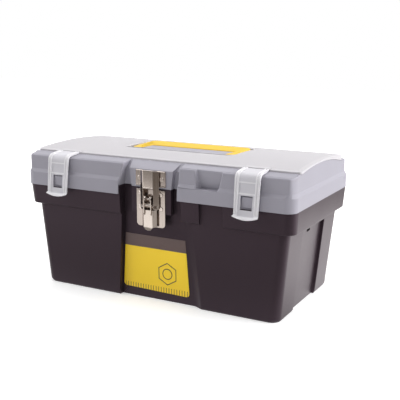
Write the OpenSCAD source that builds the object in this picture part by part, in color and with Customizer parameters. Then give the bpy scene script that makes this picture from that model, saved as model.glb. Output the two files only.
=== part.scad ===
// Plastic tool box with a hinged organiser lid, a translucent cover and a metal draw latch.
// Millimetres. X runs along the box, the front faces -Y, Z is up, the origin is under the middle of the tub.

/* [Lid rim] */
// Length of the lid rim, the longest part of the box
rim_l = 400; // [360:1:460]
// Depth of the lid rim from front to back
rim_w = 208; // [195:1:240]
// Corner radius of the lid rim seen from above
rim_r = 14; // [12:1:18]
// Height of the rim band
rim_h = 18; // [15:0.5:22]
// How far the rim hangs below the top edge of the tub
skirt_h = 11; // [8:0.5:13]
// Wall thickness of the lid
lid_wall = 2.5; // [2:0.1:3]
// How far the upper lid stands in from the rim
rim_step = 3; // [2.5:0.1:4]

/* [Tub] */
// Height of the top edge of the tub
tub_h = 154; // [130:1:190]
// Height of the band round the top of the tub
band_h = 39.6; // [37:0.2:45]
// How far the band leans in from its top to its lower edge
band_taper = 3; // [2:0.1:4]
// Overhang of the band at the ends
band_step_end = 4.5; // [3:0.1:6]
// Overhang of the band at the front and back
band_step_side = 2.9; // [2:0.1:4]
// Lean of each end from the band to the floor
end_draft = 10.7; // [6:0.1:14]
// Lean of the front and back from the band to the floor
side_draft = 3; // [1:0.1:5]
// Corner radius of the tub seen from above
tub_r = 12; // [9:1:15]
// Wall thickness of the tub
tub_wall = 2.5; // [2:0.1:3]
// Thickness of the tub floor
floor_t = 3; // [2:0.1:4]
// Rounding height of the bottom edge
foot_edge = 4; // [2:0.5:6]
// Gap between the tub and the skirt of the rim
skirt_gap = 0.8; // [0.6:0.1:1.2]
// Gap between pieces that rest on each other
seat_gap = 0.3; // [0.2:0.05:0.5]

/* [Front channel and label] */
// Depth of the front channel
channel_depth = 8; // [5:0.5:9]
// Width of the channel under the band
channel_top_w = 92; // [80:1:96]
// Distance of the channel's left wall from the middle at the floor
channel_left = 54; // [48:1:58]
// Distance of the channel's right wall from the middle at the floor
channel_right = 59; // [48:1:62]
// How far the right wall of the channel slants outwards to the front
channel_slant = 15; // [6:1:18]
// Height of the lower edge of the label
label_z = 12.5; // [5:0.5:20]
// Height of the label
label_h = 75; // [50:1:85]
// Margin beside the label
label_margin = 2; // [1:0.5:8]
// Thickness of the label
label_t = 0.4; // [0.2:0.1:0.6]

/* [Latch bay] */
// Width of the latch bay in the lid and the tub
bay_w = 92; // [84:1:100]
// Width of the raised latch pads
pad_w = 60; // [54:1:66]
// Height of the pads above the floor of the bay
pad_rise = 8.2; // [6:0.1:9]
// How far the tub pad reaches down from the top edge
pad_drop = 33; // [28:0.5:35]

/* [Finger scoop] */
// Distance of the scoop from the middle
scoop_x = 72; // [66:1:80]
// Width of the scoop
scoop_w = 33; // [22:1:38]
// Depth of the scoop in the lid
scoop_depth = 7; // [4:0.5:8]

/* [End recess] */
// Width of the recess in each end
recess_w = 80; // [50:1:100]
// Depth of the recess
recess_depth = 8; // [4:0.5:10]
// Distance from the top of the recess up to the band
recess_gap = 7; // [4:0.5:12]

/* [Lid top] */
// Height of the upper lid walls above the rim
shoulder_h = 23.5; // [20:0.5:30]
// Depth of the sloping shoulder
shoulder_run = 20; // [17:0.5:22]
// Rise of the sloping shoulder
shoulder_rise = 2.8; // [2:0.1:4]
// How much lower the lid is behind the cover than in front of it
rear_drop = 3; // [2:0.5:4]
// Thickness of the floor of the organiser wells
well_floor_t = 2.5; // [2:0.1:3]
// Thickness of the walls between the wells
divider_t = 2; // [1.5:0.1:3]
// How far the rim of the wells reaches in under the cover
shelf_w = 4; // [3:0.5:5]

/* [Organiser cover] */
// Thickness of the cover
cover_t = 2; // [1.5:0.1:2.5]
// Rise of the cover from its front edge to its middle
crown_rise = 4.6; // [3:0.1:5]
// Depth of the lip at each end of the cover at its thinnest
lip_h = 2.2; // [2:0.1:3]
// Rise of the arch that the end lips rest on
arch_rise = 6; // [5:0.1:7]
// How far the top of that arch lies in front of the middle
arch_front = 12; // [6:0.5:16]
// How far the end lip stands out past the lid wall
lip_out = 1; // [0:0.1:2]
// Corner radius of the cover
cover_r = 8; // [5:1:10]
// Width of the opening for the handle
opening_w = 166; // [150:1:174]
// Depth of the opening for the handle
opening_d = 70; // [66:1:76]
// How far the opening lies behind the middle of the cover
opening_y = 12; // [6:0.5:14]
// Corner radius of the opening
opening_r = 8; // [4:1:10]

/* [Handle] */
// Width of each leg of the handle
leg_w = 14; // [10:0.5:16]
// Depth of the grip bar
grip_d = 18; // [14:0.5:20]
// Thickness of the handle
handle_t = 12; // [10:0.5:13]
// Gap between the handle and the walls round it
handle_gap = 3; // [2:0.5:4]
// How far the handle lies below the middle of the cover
handle_sink = 1; // [0.5:0.1:2]
// Finger room under the grip
finger_room = 11; // [8:0.5:13]
// Radius of the handle pins
handle_pin_r = 2.5; // [2:0.1:3]
// Length of the handle pins
handle_pin_l = 24; // [20:0.5:24]
// Depth of the bridge that carries the handle
bridge_d = 20; // [17:0.5:21]
// How far the bridge lies below the top of the handle
bridge_sink = 1.2; // [0.8:0.1:2]

/* [Snap latches] */
// Distance of each snap latch from the middle
snap_x = 141; // [128:1:155]
// Width of a snap latch
snap_w = 36; // [30:1:40]
// Thickness of a snap latch
snap_t = 2; // [1.6:0.1:2.4]
// Gap between the strap and the rim
snap_gap = 1.2; // [1:0.1:1.6]
// How far a latch hangs below the rim's lower edge
snap_drop = 13; // [9:0.5:16]
// Width of the window
window_w = 15.6; // [10:0.2:18]
// Height of the window
window_h = 16; // [12:0.5:17]
// Height of the side ribs
rib_t = 0.8; // [0.5:0.1:1.2]
// Width of the side ribs
rib_w = 3; // [2:0.2:4]

/* [Metal latch] */
// Thickness of the plates
plate_t = 1; // [0.8:0.1:1.2]
// Width of the catch plate
catch_w = 45; // [40:1:50]
// Height of the catch plate
catch_h = 21; // [19:0.5:23]
// How far the catch plate's lip stands out
lip_reach = 2.5; // [2:0.1:3]
// Width of the catch plate's lip
catch_lip_w = 18; // [15:0.5:20]
// Width of the base plate
base_w = 43; // [38:1:50]
// Height of the base plate
base_h = 49.5; // [44:0.5:54]
// Sheet thickness of the lever and the hook
sheet_t = 1.2; // [1:0.1:1.4]
// Side gap between sheets that turn on one pin
sheet_gap = 0.3; // [0.25:0.05:0.4]
// Distance between the ears of the base plate
ear_gap = 6; // [5:0.5:8]
// Radius of the latch pins
latch_pin_r = 1.5; // [1.2:0.1:1.8]
// Radius of the rounded sheet ends on the pins
sheet_end_r = 4; // [3.6:0.1:4.4]
// Distance from the base plate to the pins
pin_out = 5; // [4.8:0.1:6]
// Depth of the lever pin below the top edge of the tub
lever_pin_drop = 13; // [11:0.5:16]
// Distance between the lever pin and the hook pin
pin_pitch = 10; // [9.5:0.5:12]
// Length of the lever below the hook pin
lever_l = 28; // [24:0.5:32]
// Radius of the rivet shanks
rivet_r = 2; // [1.5:0.1:2.2]
// Radius of the rivet heads
rivet_head_r = 3; // [2.8:0.1:3.4]
// Height of the rivet heads
rivet_head_h = 0.8; // [0.5:0.1:1.2]
// Radius of the washers
washer_r = 4.5; // [4:0.1:5]
// Thickness of the washers
washer_t = 0.8; // [0.5:0.1:1.2]

/* [Hinges] */
// Distance of each lid hinge from the middle
hinge_x = 120; // [90:1:150]
// Distance of the lid hinge axis behind the rim
hinge_out = 7; // [6.6:0.1:9]
// Depth of the lid hinge axis below the rim
hinge_drop = 2; // [1.5:0.1:3]
// Radius of the lid hinge knuckles
hinge_r = 5; // [4.5:0.1:5.5]
// Radius of the lid hinge pins
hinge_pin_r = 2; // [1.5:0.1:2.5]
// Width of the middle knuckle
knuckle_w = 24; // [18:1:30]
// Width of each outer knuckle
outer_knuckle_w = 12; // [8:1:16]
// Side gap between knuckles
knuckle_gap = 0.5; // [0.3:0.1:0.8]
// Distance of each cover hinge from the middle
cover_hinge_x = 100; // [70:1:130]
// Distance of the cover hinge axis behind the cover
cover_hinge_out = 12; // [10:0.5:14]
// Radius of the cover hinge knuckles
cover_knuckle_r = 2.6; // [2.4:0.1:3]
// Radius of the cover hinge pins
cover_pin_r = 1.2; // [1:0.1:1.4]
// Radial running gap of every pin
pin_gap = 0.05; // [0.03:0.01:0.09]

/* [Tray] */
// Height of the tray walls
tray_h = 30; // [20:0.5:32]
// Wall thickness of the tray
tray_wall = 1.8; // [1.4:0.1:2.4]
// Gap round the tray
tray_gap = 0.8; // [0.5:0.1:1.5]
// Length of the tray's lifting handle
tray_grip_l = 110; // [90:1:140]
// Height of the finger slot in the lifting handle
tray_slot_h = 16; // [12:0.5:18]

/* [Hidden] */

// Facets of exact round shapes and of the rounded corners inside a hull
$fn = 64;
corner_fn = 32;
// A length that carries a cut clear of the faces that it opens
over = 1;
// A length longer than any piece of the box
far = rim_l + rim_w + tub_h;

// Outlines of the tub, from the lid rim down to the floor
band_z = tub_h - band_h;
top_l = rim_l - 2 * (lid_wall + skirt_gap);
top_w = rim_w - 2 * (lid_wall + skirt_gap);
low_l = top_l - 2 * band_taper;
low_w = top_w - 2 * band_taper;
neck_l = low_l - 2 * band_step_end;
neck_w = low_w - 2 * band_step_side;
foot_l = neck_l - 2 * end_draft;
foot_w = neck_w - 2 * side_draft;
ledge_z = band_z + tub_wall;
end_angle = atan(end_draft / band_z);
side_angle = atan(side_draft / band_z);
channel_half = channel_top_w / 2;
channel_angle = atan((channel_right - channel_half) / band_z);

// Levels and outlines of the lid
rim_z = tub_h - skirt_h;
seat_z = tub_h + seat_gap;
rim_top = rim_z + rim_h;
upper_l = rim_l - 2 * rim_step;
upper_w = rim_w - 2 * rim_step;
upper_r = rim_r - rim_step;
shoulder_z = rim_top + shoulder_h;
shelf_z = shoulder_z + shoulder_rise;
rear_z = shoulder_z - rear_drop;
shelf_half = upper_w / 2 - shoulder_run;
edge_gap = 1;
cover_half = shelf_half - edge_gap;
well_half = shelf_half - shelf_w;
well_l = upper_l - 2 * lid_wall;
well_z = seat_z + well_floor_t;

// The crown of the cover is part of a cylinder along X
edge_z = shelf_z + seat_gap + cover_t;
crown_z = edge_z + crown_rise;
crown_r = (pow(cover_half, 2) + pow(crown_rise, 2)) / (2 * crown_rise);
cover_l = upper_l + 2 * lip_out;
cover_in = cover_l / 2 - lid_wall;

// The arch on which the end lips rest is part of another cylinder along X
arch_z = crown_z - lip_h;
arch_half = cover_half - arch_front;
arch_r = (pow(arch_half, 2) + pow(arch_rise, 2)) / (2 * arch_rise);

// Small steps of the metal latch: plates to the lid's seam, rivets to the plates' edges, bends and skirts
catch_gap = 2;
base_gap = 1.5;
rivet_inset = 6;
rivet_rise = 7;
sheet_bend = 0.6;
skirt_drop = 3.5;

// Bay, pads and the places of the metal latch
bay_y = -neck_w / 2 + channel_depth;
pad_y = bay_y - pad_rise;
bay_top = shoulder_z - lid_wall;
pad_low_z = tub_h - pad_drop;
plate_y = pad_y - plate_t;
lever_pin_y = plate_y - pin_out;
lever_pin_z = tub_h - lever_pin_drop;
hook_pin_z = lever_pin_z - pin_pitch;
ear_in = ear_gap / 2;
lever_in = ear_in + sheet_t + sheet_gap;
hook_in = lever_in + sheet_t + sheet_gap;
hook_out = hook_in + sheet_t;
catch_z = seat_z + catch_gap;
catch_top = catch_z + catch_h;
base_top = tub_h - base_gap;
front_sheet_y = lever_pin_y - sheet_end_r + sheet_bend;
lever_skirt_z = hook_pin_z - sheet_end_r - skirt_drop;
base_rivet_x = base_w / 2 - rivet_inset;
catch_rivet_x = catch_w / 2 - rivet_inset;
base_rivet_zs = [base_top - rivet_inset, pad_low_z + rivet_rise];
catch_rivet_z = catch_z + catch_h / 2;

// Handle, its housing in the lid and the bridge that carries it
housing_l = opening_w;
housing_d = opening_d;
handle_top = crown_z - handle_sink;
handle_half = housing_l / 2 - handle_gap;
leg_in = handle_half - leg_w;
handle_axis_z = handle_top - handle_t / 2;
housing_y = opening_y - housing_d / 2;
handle_axis_y = housing_y + bridge_d / 2 + edge_gap;
grip_y = opening_y + housing_d / 2 - handle_gap;
housing_z = handle_top - handle_t - finger_room;
leg_play = 0.5;
handle_pin_seat = 13.5;
bridge_half = leg_in - leg_play;
bridge_top = handle_top - bridge_sink;
handle_pin_x = bridge_half - handle_pin_seat;
housing_out_l = housing_l + 2 * lid_wall;
housing_out_d = housing_d + 2 * lid_wall;
housing_front = housing_y - lid_wall;

// Snap latches
snap_y = -rim_w / 2 - snap_gap;
snap_low_z = rim_z - snap_drop;
root_gap = 0.4;
tooth_rise = 3;
tooth_play = 1.3;
tooth_drop = 1.5;
snap_root_y = -cover_half - root_gap;
tooth_low_z = rim_z + tooth_rise;
tooth_w = window_w - 2 * tooth_play;
tooth_h = window_h - 2 * tooth_drop;

// Hinges
hinge_y = rim_w / 2 + hinge_out;
hinge_z = rim_z - hinge_drop;
hinge_half = knuckle_w / 2 + knuckle_gap + outer_knuckle_w;
cover_hinge_y = cover_half + cover_hinge_out;
cover_hinge_z = rear_z + cover_knuckle_r + edge_gap - seat_gap;
cover_arm_w = 20;
cover_ear_w = 8;
cover_hinge_half = cover_arm_w / 2 + knuckle_gap + cover_ear_w;

// Tray
tray_half = low_l / 2 - tub_wall - tray_gap;
tray_front = bay_y + tub_wall + tray_gap;
tray_back = low_w / 2 - tub_wall - tray_gap;
tray_z = ledge_z + seat_gap;
tray_mid = (tray_front + tray_back) / 2;
tray_floor_z = tray_z + tray_wall;
tray_in = tray_half - tray_wall;
tray_grip_t = 4;
tray_grip_rise = 2;
tray_grip_post = 12;
tray_grip_bar = 6;

// Flat outline with round corners
module rounded(l, w, r) {
  square([l - 2 * r, w], center = true);
  square([l, w - 2 * r], center = true);
  for (x = [-1, 1], y = [-1, 1]) translate([x * (l / 2 - r), y * (w / 2 - r)]) circle(r);
}

// Straight block with round corners between two heights
module rounded_block(l, w, r, z0, z1) {
  translate([0, 0, z0]) linear_extrude(z1 - z0) rounded(l, w, r);
}

// Thin slab used as one level of a drafted shape
module level(l, w, r, z) {
  translate([0, 0, z]) linear_extrude(0.01) rounded(l, w, r, $fn = corner_fn);
}

// Runs a Y-Z outline along X between two places
module along_x(x0, x1) {
  translate([x0, 0, 0]) rotate([90, 0, 90]) linear_extrude(x1 - x0) children();
}

// Runs an X-Z outline from y1 towards the front by a depth
module to_front(y1, depth) {
  translate([0, y1, 0]) rotate([90, 0, 0]) linear_extrude(depth) children();
}

// Round bar along X
module bar(r, x0, x1, y, z) {
  translate([x0, y, z]) rotate([0, 90, 0]) cylinder(r = r, h = x1 - x0);
}

// Solid below the cylinder of the crown, lowered by a depth, from y0 to y1
module under_crown(depth, half_l, y0, y1) {
  along_x(-half_l, half_l) intersection() {
    translate([0, crown_z - crown_r]) circle(crown_r - depth, $fn = 256);
    translate([y0, seat_z]) square([y1 - y0, crown_z]);
  }
}

// Solid below the arch of the end lips, lowered by a depth, from x0 to x1
module under_arch(depth, x0, x1) {
  half_w = cover_half + seat_gap;
  along_x(x0, x1) intersection() {
    translate([-arch_front, arch_z - arch_r]) circle(arch_r - depth, $fn = 256);
    translate([-half_w, seat_z]) square([2 * half_w, crown_z]);
  }
}

// Outline of the latch bay seen from above, grown by g for its walls
module bay_outline(g, pad) {
  half = bay_w / 2 + g;
  pad_half = pad ? pad_w / 2 - g : 0;
  front = -rim_w / 2 - over;
  polygon(concat([[-half, front], [-half, bay_y + g]],
    pad ? [[-pad_half, bay_y + g], [-pad_half, pad_y + g], [pad_half, pad_y + g], [pad_half, bay_y + g]] : [],
    [[half, bay_y + g], [half, front]]));
}

// The lean of the tub's front, with its foot at the floor
module on_front() {
  translate([0, -foot_w / 2, 0]) rotate([side_angle, 0, 0]) children();
}

// Outward shape of the tub
module tub_outer() {
  hull() {
    level(foot_l - foot_edge, foot_w - foot_edge, tub_r, 0);
    level(foot_l, foot_w, tub_r, foot_edge);
    level(neck_l, neck_w, tub_r, band_z);
  }
  hull() {
    level(neck_l, neck_w, tub_r, band_z);
    level(low_l, low_w, tub_r, band_z + band_step_end);
    level(top_l, top_w, tub_r, tub_h - 0.01);
  }
}

// Space inside the tub, wider above the step that carries the tray
module tub_cavity() {
  hull() {
    level(foot_l - 2 * tub_wall, foot_w - 2 * tub_wall, tub_r - tub_wall, floor_t);
    level(neck_l - 2 * tub_wall, neck_w - 2 * tub_wall, tub_r - tub_wall, ledge_z);
  }
  hull() {
    level(low_l - 2 * tub_wall, low_w - 2 * tub_wall, tub_r - tub_wall, ledge_z);
    level(top_l - 2 * tub_wall, top_w - 2 * tub_wall, tub_r - tub_wall, tub_h);
    level(top_l - 2 * tub_wall, top_w - 2 * tub_wall, tub_r - tub_wall, tub_h + over);
  }
}

// Hollows that are pressed into the tub from outside, grown by g for their walls
module tub_hollows(g) {
  floor_y = channel_depth + g;
  slant = channel_slant / channel_depth;
  on_front() difference() {
    to_front(floor_y, channel_depth + tub_wall + 2 * g) polygon([
      [-channel_left - g, -far], [far, -far], [far, band_z + over],
      [-channel_half - g, band_z + over], [-channel_left - g, 0]]);
    translate([channel_right + g, 0, 0]) rotate([0, -channel_angle, 0]) translate([0, 0, -far])
      linear_extrude(2 * far) polygon([
        [-over * slant, floor_y + over], [far * slant, floor_y - far], [2 * far * slant, floor_y + over]]);
  }
  translate([0, 0, band_z]) linear_extrude(pad_low_z - band_z + g) bay_outline(g, false);
  translate([0, 0, pad_low_z - g]) linear_extrude(far) bay_outline(g, true);
  for (side = [0, 180]) rotate(side) translate([foot_l / 2, 0, 0]) rotate([0, end_angle, 0])
    translate([0, 0, -far]) linear_extrude(far + band_z - recess_gap + g) polygon([
      [far, -recess_w / 2 - g], [-recess_depth - g, -recess_w / 2 - g],
      [-recess_depth - g, recess_w / 2 + g], [far, recess_w / 2 + g]]);
  translate([scoop_x - g, -far - neck_w / 2, band_z - over])
    cube([scoop_w + 2 * g, far + g, rim_z - band_z + over + g]);
}

// Knuckles of the tub on both sides of each lid knuckle
module tub_knuckles() {
  root_y = low_w / 2 - 0.5;
  for (side = [-1, 1], end = [-1, 1]) {
    x0 = side * hinge_x + end * (knuckle_w / 2 + knuckle_gap + outer_knuckle_w / 2) - outer_knuckle_w / 2;
    along_x(x0, x0 + outer_knuckle_w) {
      translate([hinge_y, hinge_z]) circle(hinge_r);
      polygon([[root_y, hinge_z - 2.4 * hinge_r], [hinge_y, hinge_z - hinge_r], [hinge_y, hinge_z],
               [root_y, hinge_z]]);
    }
  }
}

// Shanks of the base plate rivets, grown by g for their holes
module base_shanks(g, y0, y1) {
  for (x = [-1, 1], z = base_rivet_zs)
    translate([x * base_rivet_x, y1, z]) rotate([90, 0, 0]) cylinder(r = rivet_r + g, h = y1 - y0);
}

// Shanks of the catch plate rivets, grown by g for their holes
module catch_shanks(g, y0, y1) {
  for (x = [-1, 1])
    translate([x * catch_rivet_x, y1, catch_rivet_z]) rotate([90, 0, 0])
      cylinder(r = rivet_r + g, h = y1 - y0);
}

module tub() {
  color("#3e373a") difference() {
    union() {
      difference() {
        tub_outer();
        tub_hollows(0);
        difference() {
          tub_cavity();
          tub_hollows(tub_wall);
        }
      }
      tub_knuckles();
    }
    for (side = [-1, 1])
      bar(hinge_pin_r + pin_gap, side * hinge_x - hinge_half - over, side * hinge_x + hinge_half + over,
          hinge_y, hinge_z);
    base_shanks(pin_gap, pad_y - over, pad_y + tub_wall + over);
  }
}

module label() {
  slope = (channel_left - channel_half) / band_z;
  low_half = channel_left - slope * label_z - label_margin;
  top_half = low_half - slope * label_h;
  color("#f5cf3c") on_front() to_front(channel_depth, label_t) polygon([
    [-low_half, label_z], [low_half, label_z],
    [top_half, label_z + label_h], [-top_half, label_z + label_h]]);
}

module latch_base_plate() {
  corner = 5;
  low_z = base_top - base_h;
  color("#b8aca0") difference() {
    union() {
      to_front(pad_y, plate_t) {
        translate([-base_w / 2, low_z + corner]) square([base_w, base_h - corner]);
        translate([-base_w / 2 + corner, low_z]) square([base_w - 2 * corner, base_h]);
        for (x = [-1, 1]) translate([x * (base_w / 2 - corner), low_z + corner]) circle(corner);
      }
      for (x = [-ear_in - sheet_t, ear_in]) along_x(x, x + sheet_t) {
        translate([lever_pin_y, lever_pin_z]) circle(sheet_end_r);
        translate([lever_pin_y, lever_pin_z - sheet_end_r]) square([pin_out + plate_t, 2 * sheet_end_r]);
      }
    }
    bar(latch_pin_r + pin_gap, -hook_in, hook_in, lever_pin_y, lever_pin_z);
    base_shanks(pin_gap, plate_y - over, pad_y + over);
  }
}

module base_plate_rivets() {
  tail_y = pad_y + tub_wall + washer_t;
  color("#a09488") {
    base_shanks(0, plate_y - rivet_head_h, tail_y + rivet_head_h);
    base_shanks(rivet_head_r - rivet_r, plate_y - rivet_head_h, plate_y);
    base_shanks(rivet_head_r - rivet_r, tail_y, tail_y + rivet_head_h);
  }
}

module base_plate_washers() {
  back = pad_y + tub_wall;
  color("#a09488") difference() {
    base_shanks(washer_r - rivet_r, back, back + washer_t);
    base_shanks(pin_gap, back - over, back + washer_t + over);
  }
}

module lever_pin() {
  color("#a09488") bar(latch_pin_r, -hook_in + sheet_gap, hook_in - sheet_gap, lever_pin_y, lever_pin_z);
}

module lid_hinge_pin(side) {
  middle = side * hinge_x;
  color("#9a9a9e") bar(hinge_pin_r, middle - hinge_half, middle + hinge_half, hinge_y, hinge_z);
}

module lid_hinge_pin_left() {
  lid_hinge_pin(-1);
}

module lid_hinge_pin_right() {
  lid_hinge_pin(1);
}

// Outline of the upper lid across the box, lowered by g, with the sloping shoulder in front
module shoulder_outline(g) {
  half = upper_w / 2 - g;
  polygon([[-half, seat_z - g], [-half, shoulder_z - g], [-shelf_half, shelf_z - g],
           [0, shelf_z - g], [0, rear_z - g], [half, rear_z - g], [half, seat_z - g]]);
}

// Outward shape of the lid before its hollows
module lid_outer() {
  difference() {
    rounded_block(rim_l, rim_w, rim_r, rim_z, rim_top);
    rounded_block(rim_l - 2 * lid_wall, rim_w - 2 * lid_wall, rim_r - lid_wall, rim_z - over, seat_z);
  }
  difference() {
    intersection() {
      rounded_block(upper_l, upper_w, upper_r, seat_z, shelf_z + over);
      along_x(-upper_l / 2, upper_l / 2) shoulder_outline(0);
    }
    for (side = [0, 180]) rotate(side)
      translate([well_l / 2, -cover_half - seat_gap, seat_z + well_floor_t])
        cube([far, 2 * (cover_half + seat_gap), far]);
  }
  for (x = [-upper_l / 2, well_l / 2]) under_arch(seat_gap, x, x + lid_wall);
}

// Wells of the organiser and the hollow between its walls and the front and back of the lid
module lid_hollows() {
  translate([-well_l / 2, -well_half, well_z]) cube([well_l, 2 * well_half, far]);
  intersection() {
    rounded_block(well_l, upper_w - 2 * lid_wall, upper_r - lid_wall, seat_z - over, shelf_z);
    along_x(-well_l / 2, well_l / 2) difference() {
      shoulder_outline(lid_wall);
      translate([-well_half - lid_wall, 0]) square([2 * (well_half + lid_wall), far]);
    }
  }
}

// Space of the handle above, and the space under its floor, with the bridge left standing
module housing_hollows() {
  boss = handle_pin_l - leg_w + 3 * lid_wall;
  difference() {
    translate([-housing_l / 2, housing_y, housing_z]) cube([housing_l, housing_d, far]);
    translate([-bridge_half, housing_y - over, 0]) cube([2 * bridge_half, bridge_d + over, bridge_top]);
  }
  translate([-housing_l / 2, housing_y, seat_z - over])
    cube([housing_l, housing_d, housing_z - lid_wall - seat_z + over]);
  translate([-bridge_half + boss, housing_y, seat_z - over])
    cube([2 * (bridge_half - boss), bridge_d - lid_wall, bridge_top - lid_wall - seat_z + over]);
  bar(handle_pin_r + pin_gap, -bridge_half - over, -handle_pin_x, handle_axis_y, handle_axis_z);
  bar(handle_pin_r + pin_gap, handle_pin_x, bridge_half + over, handle_axis_y, handle_axis_z);
}

// Outer block of the handle's housing, which stands in a hole of the lid's floor
module housing_block() {
  translate([-housing_out_l / 2, housing_front, seat_z]) cube([housing_out_l, housing_out_d, far]);
}

// Walls of the latch bay and of the finger scoop inside the lid
module lid_pocket_walls() {
  intersection() {
    rounded_block(upper_l, upper_w, upper_r, seat_z, shelf_z);
    along_x(-upper_l / 2, upper_l / 2) shoulder_outline(0);
    union() {
      translate([0, 0, seat_z]) linear_extrude(far) bay_outline(lid_wall, true);
      translate([scoop_x - lid_wall, -far - upper_w / 2 + scoop_depth, rim_top - lid_wall])
        cube([scoop_w + 2 * lid_wall, far + lid_wall, far]);
    }
    translate([-far / 2, -far - well_half, 0]) cube([far, far, far]);
  }
}

module lid_pockets() {
  translate([0, 0, rim_z - over]) linear_extrude(bay_top - rim_z + over) bay_outline(0, true);
  translate([scoop_x, -far - upper_w / 2 + scoop_depth, rim_top]) cube([scoop_w, far, bay_top - rim_top]);
}

// Teeth on the rim that the windows of the snap latches close over
module snap_teeth() {
  for (side = [-1, 1])
    translate([side * snap_x - tooth_w / 2, snap_y + seat_gap, tooth_low_z])
      cube([tooth_w, snap_gap, tooth_h]);
}

module lid_knuckles() {
  root_y = rim_w / 2 - over;
  for (side = [-1, 1]) along_x(side * hinge_x - knuckle_w / 2, side * hinge_x + knuckle_w / 2) {
    translate([hinge_y, hinge_z]) circle(hinge_r);
    polygon([[root_y, rim_z + over], [hinge_y - hinge_r, hinge_z], [hinge_y + hinge_r, hinge_z],
             [root_y, rim_top - over]]);
  }
}

// Ears on the lid behind the cover that hold the cover's hinge pins
module cover_ears() {
  for (side = [-1, 1], end = [-1, 1]) {
    x0 = side * cover_hinge_x + end * (cover_arm_w / 2 + knuckle_gap + cover_ear_w / 2) - cover_ear_w / 2;
    along_x(x0, x0 + cover_ear_w) {
      translate([cover_hinge_y, cover_hinge_z]) circle(cover_knuckle_r);
      translate([cover_hinge_y - cover_knuckle_r, rear_z - over])
        square([2 * cover_knuckle_r, cover_hinge_z - rear_z + over]);
    }
  }
}

module lid() {
  color("#929098") difference() {
    union() {
      difference() {
        lid_outer();
        lid_hollows();
        housing_block();
      }
      lid_pocket_walls();
      snap_teeth();
      lid_knuckles();
      cover_ears();
    }
    lid_pockets();
    for (side = [-1, 1]) {
      bar(hinge_pin_r + pin_gap, side * hinge_x - knuckle_w, side * hinge_x + knuckle_w, hinge_y, hinge_z);
      bar(cover_pin_r + pin_gap, side * cover_hinge_x - cover_hinge_half - over,
          side * cover_hinge_x + cover_hinge_half + over, cover_hinge_y, cover_hinge_z);
    }
    catch_shanks(pin_gap, pad_y - over, pad_y + lid_wall + over);
  }
}

// Cup in the middle of the lid that takes the folded handle, with the bridge that holds its pins
module handle_housing() {
  color("#929098") difference() {
    intersection() {
      under_crown(cover_t + seat_gap, housing_out_l, -cover_half, cover_half);
      housing_block();
    }
    housing_hollows();
  }
}

// Plates between the organiser wells, on both sides of the housing and in front of it and behind it
module organiser_dividers() {
  plate_x = (housing_l + lid_wall) / 2;
  housing_back = housing_front + housing_out_d;
  color("#929098") intersection() {
    under_crown(cover_t + seat_gap, well_l, -well_half - over, well_half + over);
    union() {
      for (side = [-1, 1]) translate([side * plate_x - lid_wall / 2, -well_half, well_z]) {
        cube([lid_wall, housing_front + well_half, far]);
        translate([0, housing_back + well_half, 0]) cube([lid_wall, well_half - housing_back, far]);
      }
      for (side = [0, 180]) rotate(side) translate([housing_out_l / 2, -divider_t / 2, well_z])
        cube([(well_l - housing_out_l) / 2, divider_t, far]);
    }
  }
}

module catch_plate() {
  color("#b8aca0") difference() {
    union() {
      to_front(pad_y, plate_t) translate([-catch_w / 2, catch_z]) square([catch_w, catch_h]);
      to_front(pad_y, plate_t + lip_reach)
        translate([-catch_lip_w / 2, catch_top - plate_t]) square([catch_lip_w, plate_t]);
      to_front(plate_y - lip_reach + plate_t, plate_t)
        translate([-catch_lip_w / 2, catch_top - 2 * plate_t]) square([catch_lip_w, 2 * plate_t]);
    }
    catch_shanks(pin_gap, plate_y - over, pad_y + over);
  }
}

module catch_plate_rivets() {
  tail_y = pad_y + lid_wall + washer_t;
  color("#a09488") {
    catch_shanks(0, plate_y - rivet_head_h, tail_y + rivet_head_h);
    catch_shanks(rivet_head_r - rivet_r, plate_y - rivet_head_h, plate_y);
    catch_shanks(rivet_head_r - rivet_r, tail_y, tail_y + rivet_head_h);
  }
}

module catch_plate_washers() {
  back = pad_y + lid_wall;
  color("#a09488") difference() {
    catch_shanks(washer_r - rivet_r, back, back + washer_t);
    catch_shanks(pin_gap, back - over, back + washer_t + over);
  }
}

module cover_hinge_pin(side) {
  middle = side * cover_hinge_x;
  color("#9a9a9e")
    bar(cover_pin_r, middle - cover_hinge_half, middle + cover_hinge_half, cover_hinge_y, cover_hinge_z);
}

module cover_hinge_pin_left() {
  cover_hinge_pin(-1);
}

module cover_hinge_pin_right() {
  cover_hinge_pin(1);
}

module handle_pin_left() {
  color("#9a9a9e")
    bar(handle_pin_r, -handle_pin_x - handle_pin_l, -handle_pin_x, handle_axis_y, handle_axis_z);
}

module handle_pin_right() {
  color("#9a9a9e")
    bar(handle_pin_r, handle_pin_x, handle_pin_x + handle_pin_l, handle_axis_y, handle_axis_z);
}

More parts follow.
